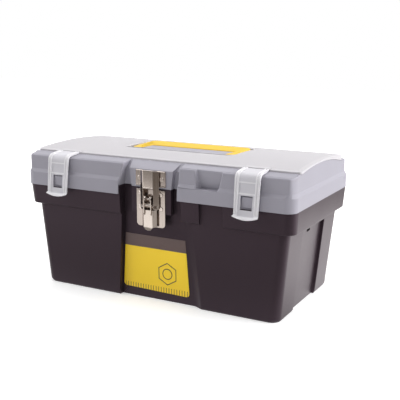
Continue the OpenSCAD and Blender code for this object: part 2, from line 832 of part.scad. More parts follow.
// A crowned sheet with a lip over each end of the lid, a skirt behind and two hinge arms
module organiser_cover() {
  skirt_z = rear_z + seat_gap;
  arm_z = cover_hinge_z - cover_knuckle_r + edge_gap;
  color("#e2dfe2", 0.6) difference() {
    union() {
      difference() {
        intersection() {
          rounded_block(cover_l, 2 * cover_half, cover_r, skirt_z, crown_z + over);
          under_crown(0, cover_l, -cover_half - over, cover_half + over);
        }
        under_crown(cover_t, cover_in, -cover_half - over, cover_half - cover_t);
        under_arch(0, -cover_l, cover_l);
      }
      for (side = [-1, 1])
        along_x(side * cover_hinge_x - cover_arm_w / 2, side * cover_hinge_x + cover_arm_w / 2) {
          translate([cover_hinge_y, cover_hinge_z]) circle(cover_knuckle_r);
          translate([cover_half - edge_gap, arm_z])
            square([cover_hinge_out + edge_gap, cover_hinge_z + cover_knuckle_r - seat_gap - arm_z]);
        }
    }
    translate([0, opening_y, 0]) rounded_block(opening_w, opening_d, opening_r, seat_z, crown_z + over);
    for (side = [-1, 1])
      bar(cover_pin_r + pin_gap, side * cover_hinge_x - cover_arm_w, side * cover_hinge_x + cover_arm_w,
          cover_hinge_y, cover_hinge_z);
  }
}

// A strap that leaves the front edge of the cover, bends over the shoulder and hangs in front of the rim
module snap_latch(side) {
  bend = 5;
  flare = 2.5;
  lip_z = snap_low_z + 7;
  top_z = edge_z - cover_t + 0.2;
  window_z = tooth_low_z - tooth_drop;
  inner = [[snap_root_y, top_z], [snap_y + bend, top_z - 1], [snap_y, top_z - 1 - bend], [snap_y, lip_z],
           [snap_y - flare, snap_low_z]];
  outer = [[snap_y - flare - snap_t, snap_low_z], [snap_y - snap_t, lip_z],
           [snap_y - snap_t, top_z - bend], [snap_y + bend - snap_t, top_z + snap_t - 1.5],
           [snap_root_y, top_z + snap_t]];
  ribs = [[snap_y - snap_t, lip_z], [snap_y - snap_t - rib_t, lip_z], [snap_y - snap_t - rib_t, top_z - bend],
          [snap_y - snap_t, top_z - bend]];
  color("#dcdade", 0.7) difference() {
    union() {
      along_x(side * snap_x - snap_w / 2, side * snap_x + snap_w / 2) polygon(concat(inner, outer));
      for (x = [-snap_w / 2, snap_w / 2 - rib_w])
        along_x(side * snap_x + x, side * snap_x + x + rib_w) polygon(ribs);
    }
    translate([side * snap_x - window_w / 2, -far, window_z]) cube([window_w, far, window_h]);
  }
}

module snap_latch_left() {
  snap_latch(-1);
}

module snap_latch_right() {
  snap_latch(1);
}

module handle() {
  r_out = 10;
  r_in = 6;
  front_y = handle_axis_y;
  color("#f0cc32") difference() {
    union() {
      translate([0, 0, handle_top - handle_t]) linear_extrude(handle_t) difference() {
        union() {
          translate([-handle_half, front_y]) square([2 * handle_half, grip_y - r_out - front_y]);
          translate([-handle_half + r_out, front_y]) square([2 * (handle_half - r_out), grip_y - front_y]);
          for (x = [-1, 1]) translate([x * (handle_half - r_out), grip_y - r_out]) circle(r_out);
        }
        translate([-leg_in, front_y - over]) square([2 * leg_in, grip_y - grip_d - r_in - front_y + over]);
        translate([-leg_in + r_in, front_y - over])
          square([2 * (leg_in - r_in), grip_y - grip_d - front_y + over]);
        for (x = [-1, 1]) translate([x * (leg_in - r_in), grip_y - grip_d - r_in]) circle(r_in);
      }
      for (x = [-handle_half, leg_in]) bar(handle_t / 2, x, x + leg_w, handle_axis_y, handle_axis_z);
    }
    for (side = [0, 180]) translate([0, handle_axis_y, handle_axis_z]) rotate([0, 0, side])
      bar(handle_pin_r + pin_gap, leg_in - over, handle_pin_x + handle_pin_l + pin_gap, 0, 0);
  }
}

module latch_lever() {
  low_z = hook_pin_z - lever_l;
  back_y = plate_y - 1.2;
  web_y = front_sheet_y - sheet_t;
  nose = 2;
  flange = [[lever_pin_y + sheet_end_r - 1, hook_pin_z], [front_sheet_y, hook_pin_z], [front_sheet_y, low_z],
            [front_sheet_y + 2, low_z], [back_y, lever_skirt_z - 3], [back_y, lever_skirt_z]];
  color("#c4b9ad") difference() {
    union() {
      for (x = [-lever_in - sheet_t, lever_in]) along_x(x, x + sheet_t) {
        translate([lever_pin_y, lever_pin_z]) circle(sheet_end_r);
        translate([lever_pin_y - sheet_end_r, hook_pin_z]) square([2 * sheet_end_r, pin_pitch]);
        translate([lever_pin_y, hook_pin_z]) circle(sheet_end_r);
        polygon(flange);
      }
      along_x(-hook_out, hook_out)
        translate([web_y, low_z]) square([sheet_t, lever_skirt_z - low_z]);
      along_x(-lever_in - over, lever_in + over)
        translate([web_y, low_z]) square([2 * sheet_t, lever_skirt_z - low_z]);
      for (x = [-hook_out, hook_out - sheet_t]) along_x(x, x + sheet_t) polygon([
        [web_y, lever_skirt_z], [web_y, low_z], [front_sheet_y + 2, low_z],
        [back_y, lever_skirt_z - 3], [back_y, lever_skirt_z]]);
      along_x(-hook_out, hook_out) polygon([
        [front_sheet_y, low_z + sheet_t], [web_y, low_z + sheet_t],
        [web_y - nose, low_z - nose], [front_sheet_y - nose, low_z - nose]]);
    }
    bar(latch_pin_r + pin_gap, -hook_out, hook_out, lever_pin_y, lever_pin_z);
    bar(latch_pin_r + pin_gap, -hook_out, hook_out, lever_pin_y, hook_pin_z);
  }
}

module hook_pin() {
  color("#a09488") bar(latch_pin_r, -hook_out - 0.5, hook_out + 0.5, lever_pin_y, hook_pin_z);
}

module draw_hook() {
  back_y = lever_pin_y + sheet_end_r - 2;
  web_low_z = tub_h;
  web_y = front_sheet_y - sheet_t;
  tip_y = plate_y - lip_reach - 0.4;
  color("#b3a598") difference() {
    union() {
      for (x = [-hook_out, hook_in]) along_x(x, x + sheet_t) {
        translate([lever_pin_y, hook_pin_z]) circle(sheet_end_r);
        polygon([[back_y, hook_pin_z], [back_y, catch_top - 2], [web_y, catch_top - 2], [web_y, hook_pin_z]]);
      }
      along_x(-hook_out, hook_out)
        translate([web_y, web_low_z]) square([sheet_t, catch_top + sheet_t - web_low_z]);
      along_x(-hook_in - over, hook_in + over) {
        translate([web_y, catch_top]) square([tip_y - web_y, sheet_t]);
        translate([tip_y - sheet_t, catch_top - 1.5]) square([sheet_t, 1.5 + sheet_t]);
      }
    }
    bar(latch_pin_r + pin_gap, -hook_out - over, hook_out + over, lever_pin_y, hook_pin_z);
  }
}

// Open box that rests on the step inside the tub
module tray() {
  depth = tray_back - tray_front;
  color("#55504f") translate([0, tray_mid, 0]) difference() {
    rounded_block(2 * tray_half, depth, tub_r - tub_wall, tray_z, tray_z + tray_h);
    rounded_block(2 * tray_in, depth - 2 * tray_wall, tub_r - tub_wall - tray_wall, tray_floor_z,
      tray_z + tray_h + over);
  }
}

// Wall along the tray with a grip to lift it by, and two walls across its front half
module tray_partition() {
  grip_top = tray_z + tray_h + tray_grip_rise;
  slot_l = tray_grip_l - 2 * tray_grip_post;
  color("#55504f") {
    difference() {
      translate([-tray_in, tray_mid - tray_grip_t / 2, tray_floor_z])
        cube([2 * tray_in, tray_grip_t, tray_h - tray_wall]);
      translate([-tray_grip_l / 2, tray_mid - tray_grip_t, tray_z]) cube([tray_grip_l, 2 * tray_grip_t, far]);
    }
    difference() {
      translate([-tray_grip_l / 2 - over, tray_mid - tray_grip_t / 2, tray_floor_z])
        cube([tray_grip_l + 2 * over, tray_grip_t, grip_top - tray_floor_z]);
      translate([-slot_l / 2, tray_mid - tray_grip_t, grip_top - tray_grip_bar - tray_slot_h])
        cube([slot_l, 2 * tray_grip_t, tray_slot_h]);
    }
    for (x = [-1, 1] * tray_half / 2) translate([x - tray_wall / 2, tray_front + tray_wall, tray_floor_z])
      cube([tray_wall, tray_mid - tray_front - tray_wall, tray_h - tray_wall]);
  }
}

tub();
label();
latch_base_plate();
base_plate_rivets();
base_plate_washers();
lever_pin();
lid_hinge_pin_left();
lid_hinge_pin_right();
lid();
handle_housing();
organiser_dividers();
catch_plate();
catch_plate_rivets();
catch_plate_washers();
cover_hinge_pin_left();
cover_hinge_pin_right();
handle_pin_left();
handle_pin_right();
organiser_cover();
snap_latch_left();
snap_latch_right();
handle();
latch_lever();
hook_pin();
draw_hook();
tray();
tray_partition();
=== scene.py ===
import math

import bmesh
import bpy
from mathutils import Matrix, Vector


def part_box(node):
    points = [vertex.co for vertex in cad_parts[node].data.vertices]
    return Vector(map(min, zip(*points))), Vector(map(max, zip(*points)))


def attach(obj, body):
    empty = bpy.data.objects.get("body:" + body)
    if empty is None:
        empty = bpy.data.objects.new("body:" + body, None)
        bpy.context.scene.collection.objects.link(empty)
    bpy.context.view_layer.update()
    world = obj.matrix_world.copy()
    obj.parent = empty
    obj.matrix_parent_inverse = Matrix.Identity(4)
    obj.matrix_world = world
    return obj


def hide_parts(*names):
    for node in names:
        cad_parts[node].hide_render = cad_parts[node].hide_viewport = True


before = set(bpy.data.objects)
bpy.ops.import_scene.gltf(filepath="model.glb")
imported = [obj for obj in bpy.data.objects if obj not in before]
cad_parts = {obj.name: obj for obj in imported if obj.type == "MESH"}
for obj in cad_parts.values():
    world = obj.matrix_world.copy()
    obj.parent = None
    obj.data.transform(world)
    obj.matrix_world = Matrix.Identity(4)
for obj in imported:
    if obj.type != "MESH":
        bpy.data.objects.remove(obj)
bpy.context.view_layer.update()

mm = 0.001

# Studio
# A pale floor that runs into a white background, a large soft light from the right, one from behind
# on the right, and weaker ones from above and the front left. The camera stands where the photo was taken.
camera_turn = math.radians(28.249)
camera_tilt = math.radians(12.326)
camera_roll = math.radians(0.232)
bpy.ops.object.select_all(action="DESELECT")
bpy.ops.object.camera_add(location=(0.498, -0.8884, 0.3429))
camera = bpy.context.active_object
camera.name = "photo_camera"
camera.data.lens = 66.65
camera.data.sensor_width = 36.0
camera_frame = (
    Matrix.Rotation(camera_turn, 4, "Z")
    @ Matrix.Rotation(math.pi / 2 - camera_tilt, 4, "X")
    @ Matrix.Rotation(camera_roll, 4, "Z")
)
camera.rotation_euler = camera_frame.to_euler()
scene = bpy.context.scene
scene.camera = camera
scene.view_settings.view_transform = "Standard"


def soft_light(name, place, size, power, aim=(0.0, 0.0, 0.1)):
    """A square soft box at a place, turned to face a point of the object, and unseen by the camera."""
    bpy.ops.object.light_add(type="AREA", location=place)
    light = bpy.context.active_object
    light.name = name
    light.data.size = size
    light.data.energy = power
    light.rotation_euler = (Vector(aim) - Vector(place)).to_track_quat("-Z", "Y").to_euler()
    light.visible_camera = False


soft_light("key_light", place=(1.6, 0.3, 1.1), size=1.4, power=29.0)
soft_light("rear_light", place=(1.5, 1.3, 0.7), size=1.0, power=12.0)
soft_light("top_light", place=(-0.5, 0.2, 1.8), size=1.4, power=16.0)
soft_light("fill_light", place=(-1.85, -0.75, 1.0), size=1.2, power=20.0)


def seen_rays(tree):
    """One where a ray comes from the camera or through a clear body, and nought on all other rays."""
    rays = tree.nodes.new("ShaderNodeLightPath")
    seen = tree.nodes.new("ShaderNodeMath")
    seen.operation = "ADD"
    seen.use_clamp = True
    tree.links.new(rays.outputs["Is Camera Ray"], seen.inputs[0])
    tree.links.new(rays.outputs["Is Transmission Ray"], seen.inputs[1])
    return seen.outputs[0]


def mirrored_rays(tree):
    """One where a ray comes from a glossy face."""
    rays = tree.nodes.new("ShaderNodeLightPath")
    return rays.outputs["Is Glossy Ray"]


def scaled(tree, value, low, high):
    """A value from nought to one, stretched to run from low to high."""
    stretch = tree.nodes.new("ShaderNodeMapRange")
    stretch.inputs["To Min"].default_value = low
    stretch.inputs["To Max"].default_value = high
    tree.links.new(value, stretch.inputs["Value"])
    return stretch.outputs["Result"]


def combined(tree, operation, *values):
    """Values and plain numbers put together by a sum, a product, a comparison or another operation."""
    node = tree.nodes.new("ShaderNodeMath")
    node.operation = operation
    for socket, value in zip(node.inputs, values):
        if isinstance(value, float):
            socket.default_value = value
        else:
            tree.links.new(value, socket)
    return node.outputs[0]


def along_depth(tree, start, end):
    """A value that rises from nought to one as a place or a direction goes from the front to the back."""
    where = tree.nodes.new("ShaderNodeTexCoord")
    parts = tree.nodes.new("ShaderNodeSeparateXYZ")
    tree.links.new(where.outputs["Object"], parts.inputs["Vector"])
    rise = tree.nodes.new("ShaderNodeMapRange")
    rise.interpolation_type = "SMOOTHSTEP"
    rise.inputs["From Min"].default_value = start
    rise.inputs["From Max"].default_value = end
    tree.links.new(parts.outputs["Y"], rise.inputs["Value"])
    return rise.outputs["Result"]


# White to the eye, a dim room behind the camera in reflections, and a soft even light on the object
world = bpy.data.worlds.new("white_studio")
scene.world = world
world.use_nodes = True
air = world.node_tree
background = air.nodes["Background"]
background.inputs["Color"].default_value = (1.0, 1.0, 1.0, 1.0)
even_light = 0.43
room_glow = scaled(air, along_depth(air, -0.9, 0.3), -0.2, 0.7)
mirror_part = combined(air, "MULTIPLY", mirrored_rays(air), room_glow)
white_part = scaled(air, seen_rays(air), even_light, 1.0)
air.links.new(combined(air, "ADD", white_part, mirror_part), background.inputs["Strength"])

bpy.ops.object.select_all(action="DESELECT")
bpy.ops.mesh.primitive_plane_add(size=8.0, location=(0.0, 0.0, 0.0))
floor = bpy.context.active_object
floor.name = "studio_floor"

def new_material(name):
    """A new material, with its node tree and its shader."""
    material = bpy.data.materials.new(name)
    material.use_nodes = True
    return material, material.node_tree, material.node_tree.nodes["Principled BSDF"]

floor_paint, paint, floor_shader = new_material("pale_floor")
floor_shader.inputs["Roughness"].default_value = 0.9
floor_shader.inputs["Specular IOR Level"].default_value = 0.0
floor_place = paint.nodes.new("ShaderNodeTexCoord")
floor_reach = paint.nodes.new("ShaderNodeVectorMath")
floor_reach.operation = "LENGTH"
paint.links.new(floor_place.outputs["Object"], floor_reach.inputs[0])
fade = paint.nodes.new("ShaderNodeMapRange")
fade.inputs["From Min"].default_value = 0.3
fade.inputs["From Max"].default_value = 1.6
fade.inputs["To Min"].default_value = 0.38
fade.inputs["To Max"].default_value = 1.0
paint.links.new(floor_reach.outputs["Value"], fade.inputs["Value"])
seen_glow = combined(paint, "MULTIPLY", seen_rays(paint), fade.outputs["Result"])
# For glossy rays the floor is a painted reflection: its colour turns dark brown, it glows in bands at the
# front and at the side, and painted shade dims it where the camera stands.
front_glow = combined(
    paint,
    "ADD",
    scaled(paint, along_depth(paint, -0.9, -0.5), 0.2, 1.25),
    scaled(paint, along_depth(paint, -0.46, -0.22), 0.0, -0.9),
)
side_glow = combined(
    paint,
    "ADD",
    scaled(paint, along_depth(paint, -0.2, 0.12), 0.0, 1.7),
    scaled(paint, along_depth(paint, 0.3, 0.7), 0.0, -1.3),
)
camera_foot = paint.nodes.new("ShaderNodeVectorMath")
camera_foot.operation = "DISTANCE"
camera_foot.inputs[1].default_value = (camera.location.x, camera.location.y, 0.0)
paint.links.new(floor_place.outputs["Object"], camera_foot.inputs[0])
shade = paint.nodes.new("ShaderNodeMapRange")
shade.interpolation_type = "SMOOTHSTEP"
shade.inputs["From Min"].default_value = 0.32
shade.inputs["From Max"].default_value = 0.82
shade.inputs["To Min"].default_value = 0.08
shade.inputs["To Max"].default_value = 1.0
paint.links.new(camera_foot.outputs["Value"], shade.inputs["Value"])
strip_glow = combined(paint, "ADD", front_glow, side_glow)
floor_glow = combined(paint, "MULTIPLY", strip_glow, shade.outputs["Result"])
mirror_glow = combined(paint, "MULTIPLY", mirrored_rays(paint), floor_glow)
floor_and_reflection_colour = paint.nodes.new("ShaderNodeMix")
floor_and_reflection_colour.data_type = "RGBA"
floor_and_reflection_colour.inputs["A"].default_value = (0.82, 0.82, 0.82, 1.0)
floor_and_reflection_colour.inputs["B"].default_value = (0.07, 0.05, 0.035, 1.0)
paint.links.new(mirrored_rays(paint), floor_and_reflection_colour.inputs["Factor"])
paint.links.new(floor_and_reflection_colour.outputs["Result"], floor_shader.inputs["Base Color"])
floor_shader.inputs["Emission Color"].default_value = (1.0, 1.0, 1.0, 1.0)
paint.links.new(combined(paint, "ADD", seen_glow, mirror_glow), floor_shader.inputs["Emission Strength"])
floor.data.materials.append(floor_paint)

# Tub
# The charcoal body of the box: one injection moulding of polypropylene with a fine spark-eroded grain.
# It carries the latch plate, the label and the outer hinge knuckles, and has a small slot in each end.
tub_edge = 0.8 * mm
tub_corner = 12.0 * mm
end_start = 180.0 * mm
band_levels = (142.6 * mm, 118.9 * mm)
band_outlines = ((195.7 * mm, 99.7 * mm, tub_corner), (193.7 * mm, 97.7 * mm, tub_corner))
band_swell = (4.4 * mm, 4.6 * mm)
band_drop = (0.0, 3.2 * mm)
slot_y = (-19.0 * mm, -6.5 * mm)
slot_z = (101.8 * mm, 106.4 * mm)
slot_depth = 4.0 * mm


def activate(piece):
    """Makes a piece the only selected and active object, in object mode."""
    bpy.ops.object.select_all(action="DESELECT")
    piece.select_set(True)
    bpy.context.view_layer.objects.active = piece


def edit_all(piece):
    """Goes into edit mode with the whole of a piece selected."""
    activate(piece)
    bpy.ops.object.mode_set(mode="EDIT")
    bpy.ops.mesh.select_all(action="SELECT")

def merged_copy(node, name):
    """A copy of a node's mesh as a piece of its own, with its loose triangles merged into flat faces."""
    piece = bpy.data.objects.new(name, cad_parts[node].data.copy())
    scene.collection.objects.link(piece)
    edit_all(piece)
    bpy.ops.mesh.remove_doubles(threshold=0.03 * mm)
    bpy.ops.mesh.dissolve_limited(angle_limit=math.radians(1.0))
    bpy.ops.object.mode_set(mode="OBJECT")
    bpy.ops.mesh.customdata_custom_splitnormals_clear()
    piece.data.materials.clear()
    return piece


def pick(piece, kind, wanted):
    """In edit mode, selects the points, edges or faces that are wanted, told by place, fold or normal."""
    activate(piece)
    bpy.ops.object.mode_set(mode="EDIT")
    bpy.ops.mesh.select_mode(type=kind)
    bpy.ops.mesh.select_all(action="DESELECT")
    cage = bmesh.from_edit_mesh(piece.data)
    if kind == "VERT":
        for point in cage.verts:
            point.select_set(wanted(point.co))
    elif kind == "EDGE":
        for edge in cage.edges:
            middle = (edge.verts[0].co + edge.verts[1].co) / 2
            edge.select_set(wanted(middle, math.degrees(edge.calc_face_angle(0.0))))
    else:
        for face in cage.faces:
            face.select_set(wanted(face.calc_center_median(), face.normal))
    bmesh.update_edit_mesh(piece.data)


def round_edges(piece, wanted, width, steps):
    """Rounds the edges that are wanted and returns to object mode."""
    pick(piece, "EDGE", wanted)
    bpy.ops.mesh.bevel(offset=width, segments=steps, affect="EDGES", clamp_overlap=False, loop_slide=True)
    bpy.ops.object.mode_set(mode="OBJECT")


def smooth(piece, angle):
    """Smooth shading with the folds sharper than an angle in degrees kept."""
    activate(piece)
    bpy.ops.object.shade_smooth_by_angle(angle=math.radians(angle))
    even = piece.modifiers.new("even", "WEIGHTED_NORMAL")
    even.keep_sharp = True
    bpy.ops.object.modifier_apply(modifier="even")


def split(piece, wanted, place, way):
    """Cuts the faces that are wanted along a plane through a place and returns to object mode."""
    pick(piece, "FACE", wanted)
    bpy.ops.mesh.bisect(plane_co=place, plane_no=way)
    bpy.ops.object.mode_set(mode="OBJECT")


def shift_points(piece, wanted, way):
    """Moves the points that are wanted and returns to object mode."""
    pick(piece, "VERT", wanted)
    bpy.ops.transform.translate(value=way)
    bpy.ops.object.mode_set(mode="OBJECT")


def off_way(at, half_length, half_width, corner):
    """The direction in which a place lies off the outline of a rounded rectangle."""
    x = max(abs(at.x) - half_length + corner, 0.0)
    y = max(abs(at.y) - half_width + corner, 0.0)
    return Vector((math.copysign(x, at.x), math.copysign(y, at.y), 0.0)).normalized()


def off_outline(at, half_length, half_width, corner):
    """How far a place lies outside the outline of a rounded rectangle."""
    x = max(abs(at.x) - half_length + corner, 0.0)
    y = max(abs(at.y) - half_width + corner, 0.0)
    return math.hypot(x, y) - corner


tub = merged_copy("tub", "tub_shell")

# The band round the top swells a little towards the ends and hangs lower at its bottom edge
split(
    tub,
    lambda at, normal: abs(at.x) > end_start - 2.0 * mm and at.x * normal.x > 0.0,
    (0.0, 0.0, band_levels[0]),
    (0.0, 0.0, 1.0),
)
for level, outline, swell, drop in zip(band_levels, band_outlines, band_swell, band_drop):
    for point in tub.data.vertices:
        if abs(point.co.z - level) < 0.2 * mm and off_outline(point.co, *outline) > -1.0 * mm:
            reach = max(abs(point.co.x) - end_start, 0.0) / (outline[0] - end_start)
            point.co += off_way(point.co, *outline) * swell * reach
            point.co.z -= drop

# The floor of each end recess is shallower at the top and at the front, with a small slot near its top
recess_corners = (
    ((170.5, -40, 0), (173.5, -40, 0)),
    ((170.5, 40, 0), (173.5, 40, 0)),
    ((180.5, -40, 107.7), (186.8, -40, 107.7)),
    ((180.5, 40, 107.7), (184, 40, 107.7)),
)
for side in (-1, 1):
    for spot, goal in recess_corners:
        spot = Vector((side * spot[0], spot[1], spot[2])) * mm
        goal = Vector((side * goal[0], goal[1], goal[2])) * mm
        shift_points(tub, lambda at: (at - spot).length < 0.5 * mm, goal - spot)

    def on_recess(at, normal):
        """Whether a face is part of the floor of this end's recess."""
        outward = side * normal.x > 0.9 and side * at.x > 170.0 * mm
        return outward and abs(at.y) < 40.0 * mm and 0.0 < at.z < 108.0 * mm

    for line in slot_y:
        split(tub, on_recess, (0.0, line, 0.0), (0.0, 1.0, 0.0))
    for level in slot_z:
        split(
            tub,
            lambda at, normal: on_recess(at, normal) and slot_y[0] < at.y < slot_y[1],
            (0.0, 0.0, level),
            (0.0, 0.0, 1.0),
        )
    pick(
        tub,
        "FACE",
        lambda at, normal: on_recess(at, normal)
        and slot_y[0] < at.y < slot_y[1]
        and slot_z[0] < at.z < slot_z[1],
    )
    bpy.ops.mesh.extrude_region_move(TRANSFORM_OT_translate={"value": (-side * slot_depth, 0.0, 0.0)})
    bpy.ops.object.mode_set(mode="OBJECT")
round_edges(
    tub,
    lambda at, fold: fold > 30.0 and at.y < 0.1
    and not (
        slot_y[0] - 0.1 * mm < at.y < slot_y[1] + 0.1 * mm
        and slot_z[0] - 0.1 * mm < at.z < slot_z[1] + 0.1 * mm
    ),
    tub_edge,
    2,
)
smooth(tub, 40.0)


def moulded_grain():
    """Group for a moulded surface: a fine bump height, and a tone that drifts a little over the surface."""
    grain = bpy.data.node_groups.new("moulded_grain", "ShaderNodeTree")
    grain.interface.new_socket("Grain Scale", in_out="INPUT", socket_type="NodeSocketFloat")
    grain.interface.new_socket("Drift", in_out="INPUT", socket_type="NodeSocketFloat")
    grain.interface.new_socket("Height", in_out="OUTPUT", socket_type="NodeSocketFloat")
    grain.interface.new_socket("Tone", in_out="OUTPUT", socket_type="NodeSocketFloat")
    entry = grain.nodes.new("NodeGroupInput")
    exit_node = grain.nodes.new("NodeGroupOutput")
    place = grain.nodes.new("ShaderNodeTexCoord")
    fine = grain.nodes.new("ShaderNodeTexNoise")
    fine.inputs["Detail"].default_value = 3.0
    grain.links.new(place.outputs["Object"], fine.inputs["Vector"])
    grain.links.new(entry.outputs["Grain Scale"], fine.inputs["Scale"])
    grain.links.new(fine.outputs["Fac"], exit_node.inputs["Height"])
    broad = grain.nodes.new("ShaderNodeTexNoise")
    broad.inputs["Scale"].default_value = 14.0
    broad.inputs["Detail"].default_value = 4.0
    grain.links.new(place.outputs["Object"], broad.inputs["Vector"])
    swing = grain.nodes.new("ShaderNodeMath")
    swing.operation = "SUBTRACT"
    swing.inputs[1].default_value = 0.5
    grain.links.new(broad.outputs["Fac"], swing.inputs[0])
    drift = grain.nodes.new("ShaderNodeMath")
    drift.operation = "MULTIPLY_ADD"
    drift.inputs[2].default_value = 1.0
    grain.links.new(swing.outputs[0], drift.inputs[0])
    grain.links.new(entry.outputs["Drift"], drift.inputs[1])
    grain.links.new(drift.outputs[0], exit_node.inputs["Tone"])
    return grain


grain_group = moulded_grain()


def toned(tree, colour, tone):
    """A colour that follows a tone."""
    tint = tree.nodes.new("ShaderNodeMix")
    tint.data_type = "RGBA"
    tint.blend_type = "MULTIPLY"
    tint.inputs["Factor"].default_value = 1.0
    tint.inputs["A"].default_value = (*colour, 1.0)
    tree.links.new(tone, tint.inputs["B"])
    return tint.outputs["Result"]


def grained(material, grain_scale, drift, bump):
    """Puts the moulded grain into a material as its bump, and gives back the tone of the grain."""
    tree = material.node_tree
    grain = tree.nodes.new("ShaderNodeGroup")
    grain.node_tree = grain_group
    grain.inputs["Grain Scale"].default_value = grain_scale
    grain.inputs["Drift"].default_value = drift
    relief = tree.nodes.new("ShaderNodeBump")
    relief.inputs["Strength"].default_value = bump
    relief.inputs["Distance"].default_value = 0.3 * mm
    tree.links.new(grain.outputs["Height"], relief.inputs["Height"])
    tree.links.new(relief.outputs["Normal"], tree.nodes["Principled BSDF"].inputs["Normal"])
    return grain.outputs["Tone"]


def moulded_plastic(name, colour, roughness, grain_scale, drift, bump, specular=0.35, cast=(1.0, 1.0, 1.0)):
    """A grained moulding: the colour drifts a little, the roughness with it, and the grain is a bump."""
    material, tree, shader = new_material(name)
    shader.inputs["Specular IOR Level"].default_value = specular
    shader.inputs["Specular Tint"].default_value = (*cast, 1.0)
    tone = grained(material, grain_scale, drift, bump)
    tree.links.new(toned(tree, colour, tone), shader.inputs["Base Color"])
    tree.links.new(combined(tree, "MULTIPLY", tone, roughness), shader.inputs["Roughness"])
    return material


def dress(piece, material, body, slot, *nodes):
    """Gives a piece its material and the body it moves with, and hides the nodes it stands for. The slot
    argument is not used.
    """
    piece.data.materials.append(material)
    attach(piece, body)
    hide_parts(*nodes)


tub_colour = (0.0255, 0.0188, 0.0232)
tub_plastic = moulded_plastic(
    "charcoal_moulding", tub_colour, 0.42, 900.0, 0.25, 0.3, specular=0.43, cast=(1.0, 0.71, 0.9)
)
dress(tub, tub_plastic, "tub", "tub_plastic", "tub")

# Label
# A printed film stuck on the floor of the front channel, with rounded lower corners: a dark header
# above a yellow field, which carries only a plain nut outline and a row of ruler ticks.
header_height = 17.0 * mm
label_corner = 5.0 * mm
label = merged_copy("label", "label_film")
label_low, label_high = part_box("label")
shift_points(label, lambda at: at.x > 0.0 and at.z < label_low[2] + 1.0 * mm, (0.0, 0.0, -2.0 * mm))
header_line = label_high[2] - header_height
round_edges(
    label,
    lambda at, fold: fold > 60.0 and at.z < label_low[2] + 0.5 * mm and abs(at.x) > 30.0 * mm,
    label_corner,
    6,
)



def painted(tree, under, mask, colour):
    """A colour laid over another one where a mask is one."""
    coat = tree.nodes.new("ShaderNodeMix")
    coat.data_type = "RGBA"
    tree.links.new(mask, coat.inputs["Factor"])
    tree.links.new(under, coat.inputs["A"])
    coat.inputs["B"].default_value = (*colour, 1.0)
    return coat.outputs["Result"]


def label_print():
    """The film: yellow ink with a slight mottle, the dark header, the ticks and the nut outline."""
    material = bpy.data.materials.new("printed_film")
    material.use_nodes = True
    tree = material.node_tree
    shader = tree.nodes["Principled BSDF"]
    shader.inputs["Roughness"].default_value = 0.32
    tone = grained(material, 1500.0, 0.10, 0.05)
    colour = toned(tree, (1.0, 0.69, 0.025), tone)
    where = tree.nodes.new("ShaderNodeTexCoord")
    parts = tree.nodes.new("ShaderNodeSeparateXYZ")
    tree.links.new(where.outputs["Object"], parts.inputs["Vector"])
    tick_pitch = 4.0 * mm
    tick_width = 0.8 * mm
    tick_top = label_low[2] + 6.0 * mm
    repeat = combined(tree, "PINGPONG", parts.outputs["X"], tick_pitch / 2)
    on_tick = combined(tree, "LESS_THAN", repeat, tick_width / 2)
    below_top = combined(tree, "LESS_THAN", parts.outputs["Z"], tick_top)
    ticks = combined(tree, "MULTIPLY", on_tick, below_top)
    colour = painted(tree, colour, ticks, (0.05, 0.04, 0.035))
    nut_middle = Vector((18.0, 0.0, 38.0)) * mm
    nut_half = 13.0 * mm
    nut_bore = 7.0 * mm
    nut_line = 1.2 * mm
    middle = tree.nodes.new("ShaderNodeVectorMath")
    middle.operation = "SUBTRACT"
    tree.links.new(where.outputs["Object"], middle.inputs[0])
    middle.inputs[1].default_value = nut_middle
    flats = []
    for turn in (0.0, 60.0, 120.0):
        reach = tree.nodes.new("ShaderNodeVectorMath")
        reach.operation = "DOT_PRODUCT"
        tree.links.new(middle.outputs["Vector"], reach.inputs[0])
        reach.inputs[1].default_value = (math.cos(math.radians(turn)), 0.0, math.sin(math.radians(turn)))
        flats.append(combined(tree, "ABSOLUTE", reach.outputs["Value"]))
    hexagon = combined(tree, "MAXIMUM", combined(tree, "MAXIMUM", flats[0], flats[1]), flats[2])
    level = tree.nodes.new("ShaderNodeVectorMath")
    level.operation = "MULTIPLY"
    tree.links.new(middle.outputs["Vector"], level.inputs[0])
    level.inputs[1].default_value = (1.0, 0.0, 1.0)
    radius = tree.nodes.new("ShaderNodeVectorMath")
    radius.operation = "LENGTH"
    tree.links.new(level.outputs["Vector"], radius.inputs[0])
    for shape, size in ((hexagon, nut_half), (radius.outputs["Value"], nut_bore)):
        line = combined(tree, "COMPARE", shape, size, nut_line / 2)
        colour = painted(tree, colour, line, (0.05, 0.04, 0.035))
    header = combined(tree, "GREATER_THAN", parts.outputs["Z"], header_line)
    colour = painted(tree, colour, header, (0.126, 0.084, 0.079))
    tree.links.new(colour, shader.inputs["Base Color"])
    return material


dress(label, label_print(), "tub", "label_film", "label")

# Latch base plate, its rivets and washers
# A plate of nickel-plated steel with two ears for the lever's pin, held to the tub by four rivets
# with washers behind the wall. The edge at its top is rolled forward.
plate_edge = 0.3 * mm
bead_radius = 1.1 * mm


def plated_metal(name, colour, roughness):
    """Bright nickel plate over drawn steel: faint streaks along the sheet and a little uneven gloss."""
    material, tree, shader = new_material(name)
    shader.inputs["Metallic"].default_value = 1.0
    tone = grained(material, 700.0, 0.25, 0.06)
    tree.links.new(toned(tree, colour, tone), shader.inputs["Base Color"])
    where = tree.nodes.new("ShaderNodeTexCoord")
    stretch = tree.nodes.new("ShaderNodeMapping")
    stretch.inputs["Scale"].default_value = (900.0, 900.0, 30.0)
    tree.links.new(where.outputs["Object"], stretch.inputs["Vector"])
    streaks = tree.nodes.new("ShaderNodeTexNoise")
    streaks.inputs["Scale"].default_value = 1.0
    streaks.inputs["Detail"].default_value = 2.0
    tree.links.new(stretch.outputs["Vector"], streaks.inputs["Vector"])
    gloss = scaled(tree, streaks.outputs["Fac"], roughness * 0.6, roughness * 1.4)
    tree.links.new(gloss, shader.inputs["Roughness"])
    return material


